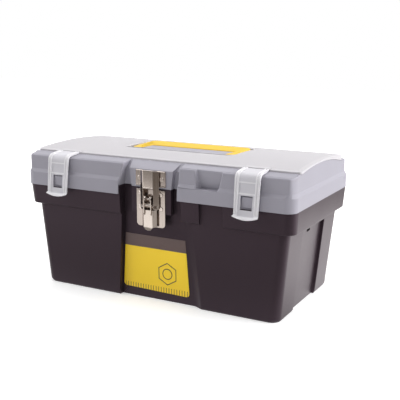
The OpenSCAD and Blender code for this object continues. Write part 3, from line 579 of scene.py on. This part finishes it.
nickel = plated_metal("nickel_plate", (0.68, 0.61, 0.56), 0.18)
# A darker copy of the same nickel plate, used on the base plate and the catch plate.
darker_nickel = plated_metal("darker_nickel_plate", (0.55, 0.485, 0.445), 0.2)


def add_bead(piece, x0, x1, y, z, radius=bead_radius):
    """Joins a rolled edge along X to a sheet: a thin bar with rounded ends."""
    bpy.ops.object.select_all(action="DESELECT")
    bpy.ops.mesh.primitive_cylinder_add(
        vertices=20,
        radius=radius,
        depth=x1 - x0,
        location=((x0 + x1) / 2, y, z),
        rotation=(0.0, math.pi / 2, 0.0),
    )
    bead = bpy.context.active_object
    bpy.ops.object.transform_apply(location=True, rotation=True, scale=True)
    round_edges(bead, lambda at, fold: fold > 60.0, radius * 0.6, 3)
    activate(piece)
    bead.select_set(True)
    bpy.ops.object.join()


plate = merged_copy("latch_base_plate", "latch_base_sheet")
plate_low, plate_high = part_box("latch_base_plate")
round_edges(plate, lambda at, fold: fold > 40.0, plate_edge, 2)
plate_front = -96.0 * mm
for side in (-1, 1):
    ends = sorted((side * 14.0 * mm, side * (plate_high[0] - 0.6 * mm)))
    add_bead(plate, ends[0], ends[1], plate_front, plate_high[2] - bead_radius)
smooth(plate, 40.0)
dress(plate, darker_nickel, "tub", "plated_steel", "latch_base_plate")


def add_rivets(node, name, body):
    """The rivets of a plate, with domed heads in front of it."""
    rivets = merged_copy(node, name)
    round_edges(rivets, lambda at, fold: fold > 40.0 and at.y < plate_front - 0.3 * mm, 0.7 * mm, 4)
    smooth(rivets, 50.0)
    dress(rivets, nickel, body, "plated_steel", node)

add_rivets("base_plate_rivets", "base_rivet_heads", "tub")
zinc = plated_metal("zinc_steel", (0.52, 0.52, 0.53), 0.35)
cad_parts["lever_pin"].material_slots[0].material = nickel
for node in ("base_plate_washers", "lid_hinge_pin_left", "lid_hinge_pin_right"):
    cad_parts[node].material_slots[0].material = zinc

# Tray and its partition
# A lift-out tray of dark grey plastic, which rests on the step inside the tub. Its middle wall
# has a slot to lift it by.
tray_plastic = moulded_plastic("tray_moulding", (0.24, 0.235, 0.255), 0.5, 900.0, 0.12, 0.2)
for node, name in (("tray", "tray_shell"), ("tray_partition", "tray_wall")):
    tray = merged_copy(node, name)
    round_edges(tray, lambda at, fold: fold > 40.0, 0.4 * mm, 2)
    smooth(tray, 40.0)
    dress(tray, tray_plastic, "tray", "tray_plastic", node)

# Lid
# The grey moulding that closes the tub: a rim that hangs over the tub, upper walls with a sloping
# shoulder, a latch bay, a finger scoop, and the floor and walls of the organiser wells.
bay_half = 46.0 * mm
pad_half = 30.0 * mm
groove_floor = -86.8 * mm
bay_ceiling = 182.0 * mm
ramp_low = 178.0 * mm
scoop_left = 72.0 * mm
scoop_right = 105.0 * mm
scoop_back = -97.0 * mm
lid_front = -101.0 * mm
brow = 184.0 * mm
shoulder_back = -81.0 * mm
rim_top = 161.0 * mm
rim_step = 3.0 * mm
rim_slope = 4.5 * mm
wall_outline = (197.0 * mm, 101.0 * mm, 11.0 * mm)
notch_line = -98.0 * mm
notch_half = 0.9 * mm
notch_depth = 1.9 * mm
notch_reach = 183.0 * mm
tooth_front = -106.5 * mm
tooth_spread = 1.06
tooth_place = 141.0 * mm
corner_grow = 5.0 * mm
close = 0.4 * mm
lid = merged_copy("lid", "lid_shell")


def over_bay(at):
    """Whether a place lies between the side walls of the latch bay."""
    return abs(at.x) < bay_half


def over_scoop(at):
    """Whether a place lies between the side walls of the finger scoop."""
    return scoop_left < at.x < scoop_right


def on_shoulder(at, normal):
    """Whether a face is part of the sloping shoulder of the lid."""
    return normal.z > 0.9 and at.z > brow and lid_front < at.y < shoulder_back - close


def on_front(at, normal):
    """Whether a face is part of the upper front wall of the lid."""
    return normal.y < -0.95 and abs(at.y - lid_front) < close and at.z > rim_top


def on_wall(at):
    """Whether a place lies on the outline of the lid's upper walls."""
    return abs(off_outline(at, *wall_outline)) < close


# The step from the rim to the upper walls is a slope
split(
    lid,
    lambda at, normal: abs(normal.z) < 0.3 and rim_top < at.z < 187.0 * mm and on_wall(at),
    (0.0, 0.0, rim_top + rim_slope),
    (0.0, 0.0, 1.0),
)
for wall in (-bay_half, -pad_half, pad_half, bay_half, scoop_left, scoop_right):
    split(
        lid,
        lambda at, normal: at.y < shoulder_back
        and at.z > 142.0 * mm
        and (normal.y < -0.95 or abs(normal.z) > 0.9),
        (wall, 0.0, 0.0),
        (1.0, 0.0, 0.0),
    )
corner_middle = Vector((wall_outline[2], wall_outline[2]))
for point in lid.data.vertices:
    if abs(point.co.z - rim_top) < close and on_wall(point.co):
        point.co += off_way(point.co, *wall_outline) * rim_step
    corner = Vector((abs(point.co.x) - wall_outline[0], -point.co.y - wall_outline[1])) + corner_middle
    if point.co.z > rim_top + close and min(corner) > -0.05 * mm:
        grown = corner.normalized() * corner_grow - Vector((corner_grow, corner_grow))
        point.co.x += math.copysign(grown.x, point.co.x)
        point.co.y -= grown.y
    if point.co.y < lid_front - rim_step - 0.5 * mm:
        middle = math.copysign(tooth_place, point.co.x)
        point.co.x = middle + (point.co.x - middle) * tooth_spread
        point.co.y = tooth_front

# The bay and the scoop are open at the top: what is over them goes, and their walls and floors are drawn up
split(
    lid,
    lambda at, normal: over_bay(at * 0.99) and abs(normal.z) < 0.3 and rim_top < at.z < bay_ceiling
    and lid_front < at.y < groove_floor + close,
    (0.0, 0.0, ramp_low),
    (0.0, 0.0, 1.0),
)
split(
    lid,
    lambda at, normal: on_shoulder(at, normal) and over_scoop(at),
    (0.0, scoop_back, 0.0),
    (0.0, 1.0, 0.0),
)
pick(
    lid,
    "FACE",
    lambda at, normal: (normal.z < -0.9 and abs(at.z - bay_ceiling) < close and at.y < groove_floor
                        and (over_bay(at) or over_scoop(at)))
    or (on_front(at, normal) and at.z > bay_ceiling and (over_bay(at) or over_scoop(at)))
    or (on_shoulder(at, normal) and (over_bay(at) or (over_scoop(at) and at.y < scoop_back))),
)
bpy.ops.mesh.delete(type="FACE")
bpy.ops.object.mode_set(mode="OBJECT")
drawn_corners = (
    # left wall of the bay
    ((-46, -104, 161), (-44.8, -104, 161)),
    ((-46, -101, 165.5), (-43.2, -101, 165.5)),
    ((-46, -101, 178), (-40.2, -101, 178)),
    ((-46, -101, 182), (-38.5, -101, 184.5)),
    ((-46, -101, 184.5), (-38.5, -101, 184.5)),
    ((-46, -86.8, 178), (-40.2, -89.5, 178)),
    ((-46, -86.8, 182), (-38.5, -81, 187.3)),
    ((-46, -81, 187.3), (-38.5, -81, 187.3)),
    # pad and grooves
    ((-30, -86.8, 178), (-33.5, -89.5, 178)),
    ((-30, -95, 178), (-33.5, -95, 178)),
    ((-30, -86.8, 182), (-36, -81, 187.3)),
    ((-30, -81, 187.3), (-36, -81, 187.3)),
    ((-30, -95, 182), (-36, -81, 187.3)),
    ((30, -86.8, 178), (33, -90, 178)),
    ((30, -95, 178), (33, -95, 178)),
    ((30, -86.8, 182), (37, -81, 187.3)),
    ((30, -81, 187.3), (37, -81, 187.3)),
    ((30, -95, 182), (37, -81, 187.3)),
    ((-27.5, -92.5, 183), (-27.5, -92.5, 176)),
    ((27.5, -92.5, 183), (27.5, -92.5, 176)),
    # right wall of the bay
    ((46, -104, 143), (43.2, -104, 143)),
    ((46, -101.5, 143), (43.2, -101.5, 143)),
    ((46, -101.5, 154.3), (43.5, -101.5, 154.3)),
    ((46, -86.8, 154.3), (43.5, -86.8, 154.3)),
    ((46, -104, 161), (43.6, -104, 161)),
    ((46, -101, 165.5), (43.8, -101, 165.5)),
    ((46, -101, 178), (44.6, -101, 178)),
    ((46, -101, 182), (45, -101, 184.5)),
    ((46, -101, 184.5), (45, -101, 184.5)),
    ((46, -86.8, 178), (43.5, -90, 178)),
    ((46, -86.8, 182), (42, -81, 187.3)),
    ((46, -81, 187.3), (42, -81, 187.3)),
    # left wall of the scoop
    ((72, -104, 161), (69.6, -104, 161)),
    ((72, -101, 165.5), (69.2, -101, 165.5)),
    ((72, -101, 182), (67.3, -101, 184.5)),
    ((72, -101, 184.5), (67.3, -101, 184.5)),
    ((72, -94, 161), (73, -94, 161)),
    ((72, -94, 182), (68.3, -97, 185.06)),
    ((72, -97, 185.06), (68.3, -97, 185.06)),
    ((69.5, -98.5, 158.5), (65, -98.5, 158.5)),
    ((69.5, -91.5, 158.5), (65, -91.5, 158.5)),
    ((69.5, -98.5, 182), (65, -98.5, 182)),
    ((69.5, -91.5, 183.1), (65, -91.5, 183.1)),
    # right wall of the scoop
    ((105, -104, 161), (99.3, -104, 161)),
    ((105, -101, 165.5), (100.6, -101, 165.5)),
    ((105, -101, 182), (105.5, -101, 184.5)),
    ((105, -101, 184.5), (105.5, -101, 184.5)),
    ((105, -94, 161), (97.5, -94, 161)),
    ((105, -94, 182), (105, -98.5, 184.85)),
    ((105, -97, 185.06), (105, -98.5, 184.85)),
)
for spot, goal in drawn_corners:
    spot = Vector(spot) * mm
    shift_points(lid, lambda at: (at - spot).length < close, Vector(goal) * mm - spot)
edit_all(lid)
bpy.ops.mesh.remove_doubles(threshold=0.05 * mm)
bpy.ops.mesh.dissolve_degenerate(threshold=0.05 * mm)
bpy.ops.object.mode_set(mode="OBJECT")
round_edges(
    lid,
    lambda at, fold: fold > 40.0 and shoulder_back - close > at.y
    and (at.z > brow or (rim_top - close < at.z and at.y < lid_front + close and abs(at.x) < 110.0 * mm))
    and not (abs(at.z - rim_top) < close),
    1.8 * mm,
    4,
)
round_edges(
    lid,
    lambda at, fold: fold > 30.0
    and at.y < 0.1
    and not (at.z > brow and abs(at.y - shoulder_back) < 1.0 * mm),
    0.6 * mm,
    2,
)

# A thin notch runs along the shoulder behind its front edge
for line in (notch_line - notch_half, notch_line, notch_line + notch_half):
    split(lid, on_shoulder, (0.0, line, 0.0), (0.0, 1.0, 0.0))
shift_points(
    lid,
    lambda at: abs(at.y - notch_line) < 0.05 * mm and at.z > brow and abs(at.x) < notch_reach,
    (0.0, 0.0, -notch_depth),
)
smooth(lid, 40.0)
lid_plastic = moulded_plastic("grey_moulding", (0.322, 0.31, 0.358), 0.5, 900.0, 0.12, 0.2, 0.4)
dress(lid, lid_plastic, "lid", "lid_plastic", "lid")

# Handle housing and organiser dividers
# The cup under the carrying handle and the plates between the organiser wells, in the lid's plastic.
bridge_half = 65.5 * mm
bridge_back = -3.0 * mm
bridge_reach = 17.0 * mm
for node, name in (("handle_housing", "handle_cup"), ("organiser_dividers", "well_dividers")):
    walls = merged_copy(node, name)
    if node == "handle_housing":
        shift_points(
            walls,
            lambda at: abs(abs(at.x) - bridge_half) < close
            and abs(at.y - bridge_back) < close
            and at.z > brow,
            (0.0, bridge_reach, -0.4 * mm),
        )
    round_edges(walls, lambda at, fold: fold > 40.0, 0.4 * mm, 2)
    smooth(walls, 40.0)
    dress(walls, lid_plastic, "lid", "lid_plastic", node)

# Catch plate, its rivets and washers
# A plate of nickel-plated steel with a lip for the hook, held to the lid by two rivets with washers.
# Its top and bottom edges are rolled forward on both sides of the hook.
catch = merged_copy("catch_plate", "catch_sheet")
catch_low, catch_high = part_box("catch_plate")
round_edges(catch, lambda at, fold: fold > 40.0, plate_edge, 2)
for side in (-1, 1):
    for inner, level in ((10.0 * mm, catch_high[2] - bead_radius), (14.5 * mm, catch_low[2] + bead_radius)):
        ends = sorted((side * inner, side * (catch_high[0] - 0.6 * mm)))
        add_bead(catch, ends[0], ends[1], plate_front, level)
smooth(catch, 40.0)
dress(catch, darker_nickel, "lid", "plated_steel", "catch_plate")
add_rivets("catch_plate_rivets", "catch_rivet_heads", "lid")
for node in ("catch_plate_washers", "cover_hinge_pin_left", "cover_hinge_pin_right", "handle_pin_left",
             "handle_pin_right"):
    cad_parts[node].material_slots[0].material = zinc

# Organiser cover
# A frosted, see-through moulding over the whole top of the lid, crowned from front to back, with an
# opening for the handle. A flat border runs round its slightly raised panel.
border = 6.5 * mm
panel_rise = 0.5 * mm
cover = merged_copy("organiser_cover", "cover_shell")
cover_low, cover_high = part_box("organiser_cover")
pick(cover, "FACE", lambda at, normal: normal.z > 0.9 and at.z > 188.0 * mm)
bpy.ops.mesh.inset(thickness=border, depth=0.0)
bpy.ops.mesh.inset(thickness=0.8 * mm, depth=panel_rise)
bpy.ops.object.mode_set(mode="OBJECT")
shift_points(
    cover,
    lambda at: abs(at.z - 187.6 * mm) < 0.15 * mm and at.y < -79.0 * mm,
    (0.0, 0.0, -0.25 * mm),
)
crown_radius = 698.0 * mm
crown_top = 194.2 * mm


def crown(y):
    """Height of the crowned top of the cover at a depth."""
    return crown_top - y * y / (2 * crown_radius)


round_edges(
    cover,
    lambda at, fold: fold > 40.0 and abs(at.z - crown(at.y)) < 0.3 * mm and abs(at.y) < 90.0 * mm,
    0.8 * mm,
    3,
)


def outline_face(name, corners):
    """A flat face through corners given in order: a disc of as many points, each moved to its corner."""
    bpy.ops.object.select_all(action="DESELECT")
    bpy.ops.mesh.primitive_circle_add(vertices=len(corners), radius=1.0, fill_type="NGON")
    piece = bpy.context.active_object
    piece.name = name
    for point, corner in zip(piece.data.vertices, corners):
        point.co = corner
    return piece


# Where a strap leaves the cover, there is a slightly raised pad with rounded rear corners
snap_place = 141.0 * mm
root_half = 17.0 * mm
root_front = -80.1 * mm
root_back = -67.0 * mm
root_corner = 5.0 * mm
root_rise = 0.9 * mm
for side in (-1, 1):
    corners = [(root_half, root_front), (-root_half, root_front)]
    for turn_side, start in ((-1, 180.0), (1, 90.0)):
        for step in range(7):
            angle = math.radians(start - 15.0 * step)
            corners.append(
                (
                    turn_side * (root_half - root_corner) + root_corner * math.cos(angle),
                    root_back - root_corner + root_corner * math.sin(angle),
                )
            )
    places = [(side * snap_place + x, y, crown(y) + root_rise) for x, y in corners]
    root = outline_face("strap_root", places)
    edit_all(root)
    bpy.ops.mesh.extrude_region_move(TRANSFORM_OT_translate={"value": (0.0, 0.0, -2 * root_rise)})
    bpy.ops.mesh.select_all(action="SELECT")
    bpy.ops.mesh.normals_make_consistent(inside=False)
    bpy.ops.object.mode_set(mode="OBJECT")
    round_edges(root, lambda at, fold: fold > 60.0 and at.z > crown(at.y) + root_rise / 2, 0.4 * mm, 2)
    activate(cover)
    root.select_set(True)
    bpy.ops.object.join()
smooth(cover, 40.0)


def frosted_plastic(name, colour, roughness, clear, edge_colour, edge_mask):
    """Frosted polypropylene: milky, a little see-through, and whiter where a mask is one: the cover's
    border, or a strap's thicker ribs and its painted highlights.
    """
    material, tree, shader = new_material(name)
    shader.inputs["Transmission Weight"].default_value = clear
    shader.inputs["IOR"].default_value = 1.4
    shader.inputs["Roughness"].default_value = roughness
    tone = grained(material, 1200.0, 0.06, 0.015)
    milky = painted(tree, toned(tree, colour, tone), edge_mask(tree), edge_colour)
    tree.links.new(milky, shader.inputs["Base Color"])
    return material


def cover_border(tree):
    """One on the flat border of the cover, with a soft inner edge, and nought on the panel."""
    where = tree.nodes.new("ShaderNodeTexCoord")
    parts = tree.nodes.new("ShaderNodeSeparateXYZ")
    tree.links.new(where.outputs["Object"], parts.inputs["Vector"])
    masks = []
    for axis, reach in (("X", cover_high[0] - border), ("Y", -cover_low[1] - border)):
        size = tree.nodes.new("ShaderNodeMath")
        size.operation = "ABSOLUTE"
        tree.links.new(parts.outputs[axis], size.inputs[0])
        ramp = tree.nodes.new("ShaderNodeMapRange")
        ramp.inputs["From Min"].default_value = reach - 1.0 * mm
        ramp.inputs["From Max"].default_value = reach + 0.5 * mm
        tree.links.new(size.outputs[0], ramp.inputs["Value"])
        masks.append(ramp.outputs["Result"])
    return combined(tree, "MAXIMUM", masks[0], masks[1])


cover_plastic = frosted_plastic(
    "frosted_cover", (0.575, 0.555, 0.58), 0.5, 0.2, (0.63, 0.61, 0.635), cover_border
)
dress(cover, cover_plastic, "cover", "cover_plastic", "organiser_cover")

# Snap latches
# Two straps of the frosted plastic that leave the front edge of the cover, bend over the shoulder and
# snap with a window over a tooth of the rim. Ribs stiffen both sides, and a curved lip is there to pull.
snap_half = 16.6 * mm
snap_sheet = 2.0 * mm
rib_lines = (11.0 * mm, 13.0 * mm, 14.6 * mm)
rib_rise = 0.8 * mm
window_half = 8.1 * mm
window_top = 160.5 * mm
window_low = 143.2 * mm
panel_top = 176.5 * mm
panel_low = 163.0 * mm
lip_start = 138.0 * mm
lip_lift = 0.62
lip_spread = 0.1
root_place = Vector((0.0, -80.4 * mm, 188.6 * mm))
root_drop = 6.0
shoulder_run = 17.7 * mm
shoulder_bend = 7.5 * mm
lean_out = 6.5
strap_taper = 0.05
lip_bend = 6.0 * mm
lip_turn = 42.0
lip_run = 2.8 * mm


def extrude_along_x(piece, stations):
    """Extrudes a flat section from the first station along X to each later one, with its faces outwards."""
    edit_all(piece)
    for here, there in zip(stations, stations[1:]):
        bpy.ops.mesh.extrude_region_move(TRANSFORM_OT_translate={"value": (there - here, 0.0, 0.0)})
    bpy.ops.mesh.select_all(action="SELECT")
    bpy.ops.mesh.normals_make_consistent(inside=False)
    bpy.ops.object.mode_set(mode="OBJECT")


def bent_strip(start, heading, runs, thickness):
    """The closed outline of a bent strip, from runs of length, turn in degrees and number of steps."""
    place = start.copy()
    angle = math.radians(heading)
    outer = []
    inner = []

    def mark():
        across = Vector((0.0, -math.sin(angle), math.cos(angle))) * thickness / 2
        outer.append(place + across)
        inner.append(place - across)

    mark()
    for length, turn, steps in runs:
        for _ in range(steps):
            angle += math.radians(turn) / steps / 2
            place = place + Vector((0.0, -math.cos(angle), -math.sin(angle))) * length / steps
            angle += math.radians(turn) / steps / 2
            mark()
    return outer + inner[::-1]


def arc_length(radius, turn):
    """Length of an arc of a radius and a turn in degrees."""
    return radius * math.radians(abs(turn))


over_shoulder = 90.0 - root_drop - lean_out
upright_top = root_place.z - shoulder_run * math.sin(math.radians(root_drop))
upright_top -= shoulder_bend * (math.cos(math.radians(root_drop)) - math.sin(math.radians(lean_out)))
levels = (upright_top, panel_top, panel_low, window_top, window_low, lip_start)
strap_runs = [(shoulder_run, 0.0, 3), (arc_length(shoulder_bend, over_shoulder), over_shoulder, 10)]
for upper, lower in zip(levels, levels[1:]):
    strap_runs.append(((upper - lower) / math.cos(math.radians(lean_out)), 0.0, 1))
strap_runs += [(arc_length(lip_bend, lip_turn), -lip_turn, 6), (lip_run, 0.0, 1)]
half_columns = (0.0, window_half / 2, window_half, *rib_lines, snap_half)
columns = [-x for x in half_columns[:0:-1]] + list(half_columns)
section = bent_strip(root_place + Vector((columns[0], 0.0, 0.0)), root_drop, strap_runs, snap_sheet)
strap = outline_face("snap_strap_left", section)
extrude_along_x(strap, columns)

# The window: the faces in front of the tooth and behind it are joined to a hole
pick(
    strap,
    "FACE",
    lambda at, normal: abs(normal.y) > 0.9 and abs(at.x) < window_half and window_low < at.z < window_top,
)
bpy.ops.mesh.bridge_edge_loops()
bpy.ops.object.mode_set(mode="OBJECT")

# Two ribs stand out along each side, and the panel between the cross lines lies lower
pick(
    strap,
    "FACE",
    lambda at, normal: (rib_lines[0] < abs(at.x) < rib_lines[1] or abs(at.x) > rib_lines[2])
    and abs(normal.x) < 0.5 and normal.z - normal.y > 0.5 and lip_start < at.z,
)
bpy.ops.mesh.extrude_region_shrink_fatten(TRANSFORM_OT_shrink_fatten={"value": rib_rise})
bpy.ops.object.mode_set(mode="OBJECT")
pick(
    strap,
    "FACE",
    lambda at, normal: abs(at.x) < rib_lines[0] and normal.y < -0.9 and panel_low < at.z < panel_top,
)
bpy.ops.mesh.inset(thickness=0.9 * mm, depth=-0.6 * mm)
bpy.ops.object.mode_set(mode="OBJECT")

# The strap narrows a little downwards, and its lip is a crescent: drawn up and wider at the sides
for point in strap.data.vertices:
    drop = (upright_top - point.co.z) / (upright_top - window_low)
    point.co.x *= 1.0 - strap_taper * min(max(drop, 0.0), 1.0)
    if point.co.z < lip_start:
        fall = lip_start - point.co.z
        point.co.z = lip_start - fall * (1.0 - lip_lift * (point.co.x / snap_half) ** 2)
        point.co.x *= 1.0 + lip_spread * fall / (8.0 * mm)
round_edges(strap, lambda at, fold: fold > 35.0, 0.35 * mm, 2)
edit_all(strap)
bpy.ops.transform.translate(value=(-snap_place, 0.0, 0.0))
bpy.ops.object.mode_set(mode="OBJECT")


def strap_ribs_and_highlights(tree):
    """One on the ribs of a strap, where the plastic is thicker, and painted highlights on its cross lines
    and lip; nought on its panel.
    """
    where = tree.nodes.new("ShaderNodeTexCoord")
    parts = tree.nodes.new("ShaderNodeSeparateXYZ")
    tree.links.new(where.outputs["Object"], parts.inputs["Vector"])
    reach = combined(tree, "ABSOLUTE", parts.outputs["X"])
    aside = combined(tree, "ABSOLUTE", combined(tree, "SUBTRACT", reach, snap_place))
    mask = combined(tree, "GREATER_THAN", aside, rib_lines[0] - 0.3 * mm)
    # The cross lines at the panel's steps and the lip are painted highlights, where these edges catch the
    # light.
    for level in (panel_top, panel_low):
        line = combined(tree, "COMPARE", parts.outputs["Z"], level, 0.9 * mm)
        mask = combined(tree, "MAXIMUM", mask, line)
    lip = combined(tree, "LESS_THAN", parts.outputs["Z"], lip_start - 2.0 * mm)
    return combined(tree, "MAXIMUM", mask, lip)


strap_plastic = frosted_plastic(
    "frosted_strap", (0.69, 0.675, 0.72), 0.4, 0.2, (0.86, 0.845, 0.875), strap_ribs_and_highlights
)
twin = strap.copy()
twin.data = strap.data.copy()
twin.name = "snap_strap_right"
scene.collection.objects.link(twin)
edit_all(twin)
bpy.ops.transform.translate(value=(2 * snap_place, 0.0, 0.0))
bpy.ops.object.mode_set(mode="OBJECT")
for piece, side in ((strap, "left"), (twin, "right")):
    smooth(piece, 40.0)
    dress(piece, strap_plastic, "snap_latch_" + side, "cover_plastic", "snap_latch_" + side)

# Handle
# A yellow U of polypropylene that lies flat in the opening of the cover and folds up on two pins.
arm_inner = 71.5 * mm
grip_front = 26.0 * mm
grip_top = 191.0 * mm
grip_rise = 1.6 * mm
grip_fall = 2.4 * mm
handle = merged_copy("handle", "carry_handle")
for point in handle.data.vertices:
    if 60.0 * mm < abs(point.co.x) < 70.0 * mm and point.co.y > 0.0:
        point.co.x = math.copysign(arm_inner, point.co.x)
shift_points(handle, lambda at: at.y > grip_front + close and at.z > grip_top, (0.0, 0.0, grip_rise))
shift_points(
    handle,
    lambda at: 0.0 < at.y < grip_front + close and abs(at.x) < arm_inner + close and at.z > grip_top,
    (0.0, 0.0, -grip_fall),
)
round_edges(handle, lambda at, fold: fold > 60.0, 2.5 * mm, 4)
smooth(handle, 40.0)
handle_plastic = moulded_plastic("yellow_moulding", (0.75, 0.49, 0.03), 0.42, 900.0, 0.08, 0.12, 0.3)
dress(handle, handle_plastic, "handle", "handle_plastic", "handle")

# Draw hook
# A hat section of nickel-plated sheet: a narrow web, two sloping flanks, two arms that run down to the
# pin, and a claw that reaches back over the lip of the catch plate.
hook_web_half = 7.8 * mm
hook_web_y = -102.8 * mm
flank_half = 14.0 * mm
flank_y = -98.4 * mm
hook_low = 155.0 * mm
hook_high = 177.0 * mm
arm_low = 127.0 * mm
hook_sheet = 1.0 * mm
claw_back = 3.2 * mm
claw_rise = 1.2 * mm


def sheet_face(name, low, high, half, y):
    """An upright sheet across X at a depth, between two heights."""
    bpy.ops.object.select_all(action="DESELECT")
    bpy.ops.mesh.primitive_plane_add(
        size=1.0, location=(0.0, y, (low + high) / 2), rotation=(math.pi / 2, 0.0, 0.0)
    )
    piece = bpy.context.active_object
    piece.name = name
    piece.scale = (2 * half, high - low, 1.0)
    bpy.ops.object.transform_apply(location=True, rotation=True, scale=True)
    return piece


def extrude_edges(piece, wanted, way):
    """Pulls the edges that are wanted out of a sheet and returns to object mode."""
    pick(piece, "EDGE", wanted)
    bpy.ops.mesh.extrude_region_move(TRANSFORM_OT_translate={"value": way})
    bpy.ops.object.mode_set(mode="OBJECT")


def thicken(piece, thickness, edge):
    """Gives a sheet its thickness towards the back and rounds its edges."""
    activate(piece)
    wall = piece.modifiers.new("wall", "SOLIDIFY")
    wall.thickness = thickness
    wall.offset = -1.0
    wall.use_even_offset = True
    bpy.ops.object.modifier_apply(modifier="wall")
    round_edges(piece, lambda at, fold: fold > 50.0, edge, 2)


def cut(piece, cutter):
    """Takes a cutter's shape out of a piece and removes the cutter."""
    activate(piece)
    hollow = piece.modifiers.new("hollow", "BOOLEAN")
    hollow.operation = "DIFFERENCE"
    hollow.solver = "EXACT"
    hollow.object = cutter
    bpy.ops.object.modifier_apply(modifier="hollow")
    bpy.data.objects.remove(cutter)


hook = sheet_face("hook_channel", hook_low, hook_high, hook_web_half, hook_web_y)
for side in (-1, 1):
    extrude_edges(
        hook,
        lambda at, fold: abs(at.x - side * hook_web_half) < close and hook_low < at.z < hook_high,
        (side * (flank_half - hook_web_half), flank_y - hook_web_y, 0.0),
    )
    extrude_edges(
        hook,
        lambda at, fold: side * at.x > hook_web_half + close and abs(at.z - hook_low) < close,
        (0.0, 0.0, arm_low - hook_low),
    )
extrude_edges(
    hook,
    lambda at, fold: abs(at.x) < close and abs(at.z - hook_high) < close,
    (0.0, 0.6 * mm, claw_rise),
)
extrude_edges(
    hook,
    lambda at, fold: abs(at.x) < close and abs(at.z - hook_high - claw_rise) < close,
    (0.0, claw_back, 0.0),
)
pick(hook, "VERT", lambda at: abs(at.z - arm_low) < close)
bpy.ops.mesh.bevel(offset=3.0 * mm, segments=5, affect="VERTICES")
bpy.ops.object.mode_set(mode="OBJECT")
round_edges(
    hook,
    lambda at, fold: fold > 15.0 and abs(abs(at.x) - hook_web_half) < close and at.z > hook_low - close,
    1.2 * mm,
    4,
)
thicken(hook, hook_sheet, 0.25 * mm)
pin_line = -101.0 * mm
hook_pin_z = 131.0 * mm
pin_hole = 1.7 * mm
bpy.ops.object.select_all(action="DESELECT")
bpy.ops.mesh.primitive_cylinder_add(
    vertices=24,
    radius=pin_hole,
    depth=4 * flank_half,
    location=(0.0, pin_line, hook_pin_z),
    rotation=(0.0, math.pi / 2, 0.0),
)
bore = bpy.context.active_object
bpy.ops.object.transform_apply(location=True, rotation=True, scale=True)
cut(hook, bore)
add_bead(hook, -hook_web_half, hook_web_half, hook_web_y, hook_low + 0.3 * mm)
smooth(hook, 35.0)
dress(hook, nickel, "hook", "plated_steel", "draw_hook")

# Latch lever and the hook's pin
# A lever of the same plated sheet, with sloping flanks, a rounded nose to get a finger under, a roll
# round the hook's pin, and two side plates that reach up to the pin in the base plate.
lever_half = 7.0 * mm
lever_low = 104.0 * mm
lever_high = 126.6 * mm
lever_top_y = -103.0 * mm
lever_flank = 4.0 * mm
nose_half = 3.6 * mm
roll_half = 6.0 * mm
roll_z = 132.8 * mm
roll_radius = 2.6 * mm
nose_drop = 4.2 * mm
lever_pin_z = 141.0 * mm
plate_inner = 4.6 * mm
plate_thick = 1.1 * mm
plate_round = 3.8 * mm
lever = sheet_face("lever_channel", lever_low, lever_high, lever_half, lever_top_y)
for side in (-1, 1):
    extrude_edges(
        lever,
        lambda at, fold: abs(at.x - side * lever_half) < close and lever_low < at.z < lever_high,
        (side * lever_flank, lever_flank, 0.0),
    )
pick(lever, "EDGE", lambda at, fold: abs(at.x) < close and abs(at.z - lever_low) < close)
bpy.ops.mesh.extrude_region_move(TRANSFORM_OT_translate={"value": (0.0, -0.5 * mm, -nose_drop)})
bpy.ops.transform.resize(value=(nose_half / lever_half, 1.0, 1.0))
bpy.ops.object.mode_set(mode="OBJECT")
pick(lever, "VERT", lambda at: at.z < lever_low - nose_drop + close)
bpy.ops.mesh.bevel(offset=2.4 * mm, segments=5, affect="VERTICES")
bpy.ops.object.mode_set(mode="OBJECT")
round_edges(
    lever,
    lambda at, fold: fold > 15.0 and abs(abs(at.x) - lever_half) < close and at.z > lever_low - close,
    1.2 * mm,
    4,
)
thicken(lever, hook_sheet, 0.25 * mm)
add_bead(lever, -roll_half, roll_half, pin_line, roll_z, roll_radius)


def round_ended(low, high, radius, x):
    """The outline of an upright bar with round ends between two pins on the pin line."""
    corners = []
    for middle, start in ((high, 0.0), (low, 180.0)):
        for step in range(13):
            angle = math.radians(start + 15.0 * step)
            corners.append((x, pin_line + radius * math.cos(angle), middle + radius * math.sin(angle)))
    return corners


for side in (-1, 1):
    inside = side * plate_inner
    outside = side * (plate_inner + plate_thick)
    outline = round_ended(hook_pin_z - 8.0 * mm, lever_pin_z, plate_round, inside)
    bar = outline_face("lever_side_plate", outline)
    extrude_along_x(bar, (inside, outside))
    round_edges(bar, lambda at, fold: fold > 60.0, 0.2 * mm, 2)
    activate(lever)
    bar.select_set(True)
    bpy.ops.object.join()
smooth(lever, 35.0)
dress(lever, nickel, "lever", "plated_steel", "latch_lever")
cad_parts["hook_pin"].material_slots[0].material = nickel
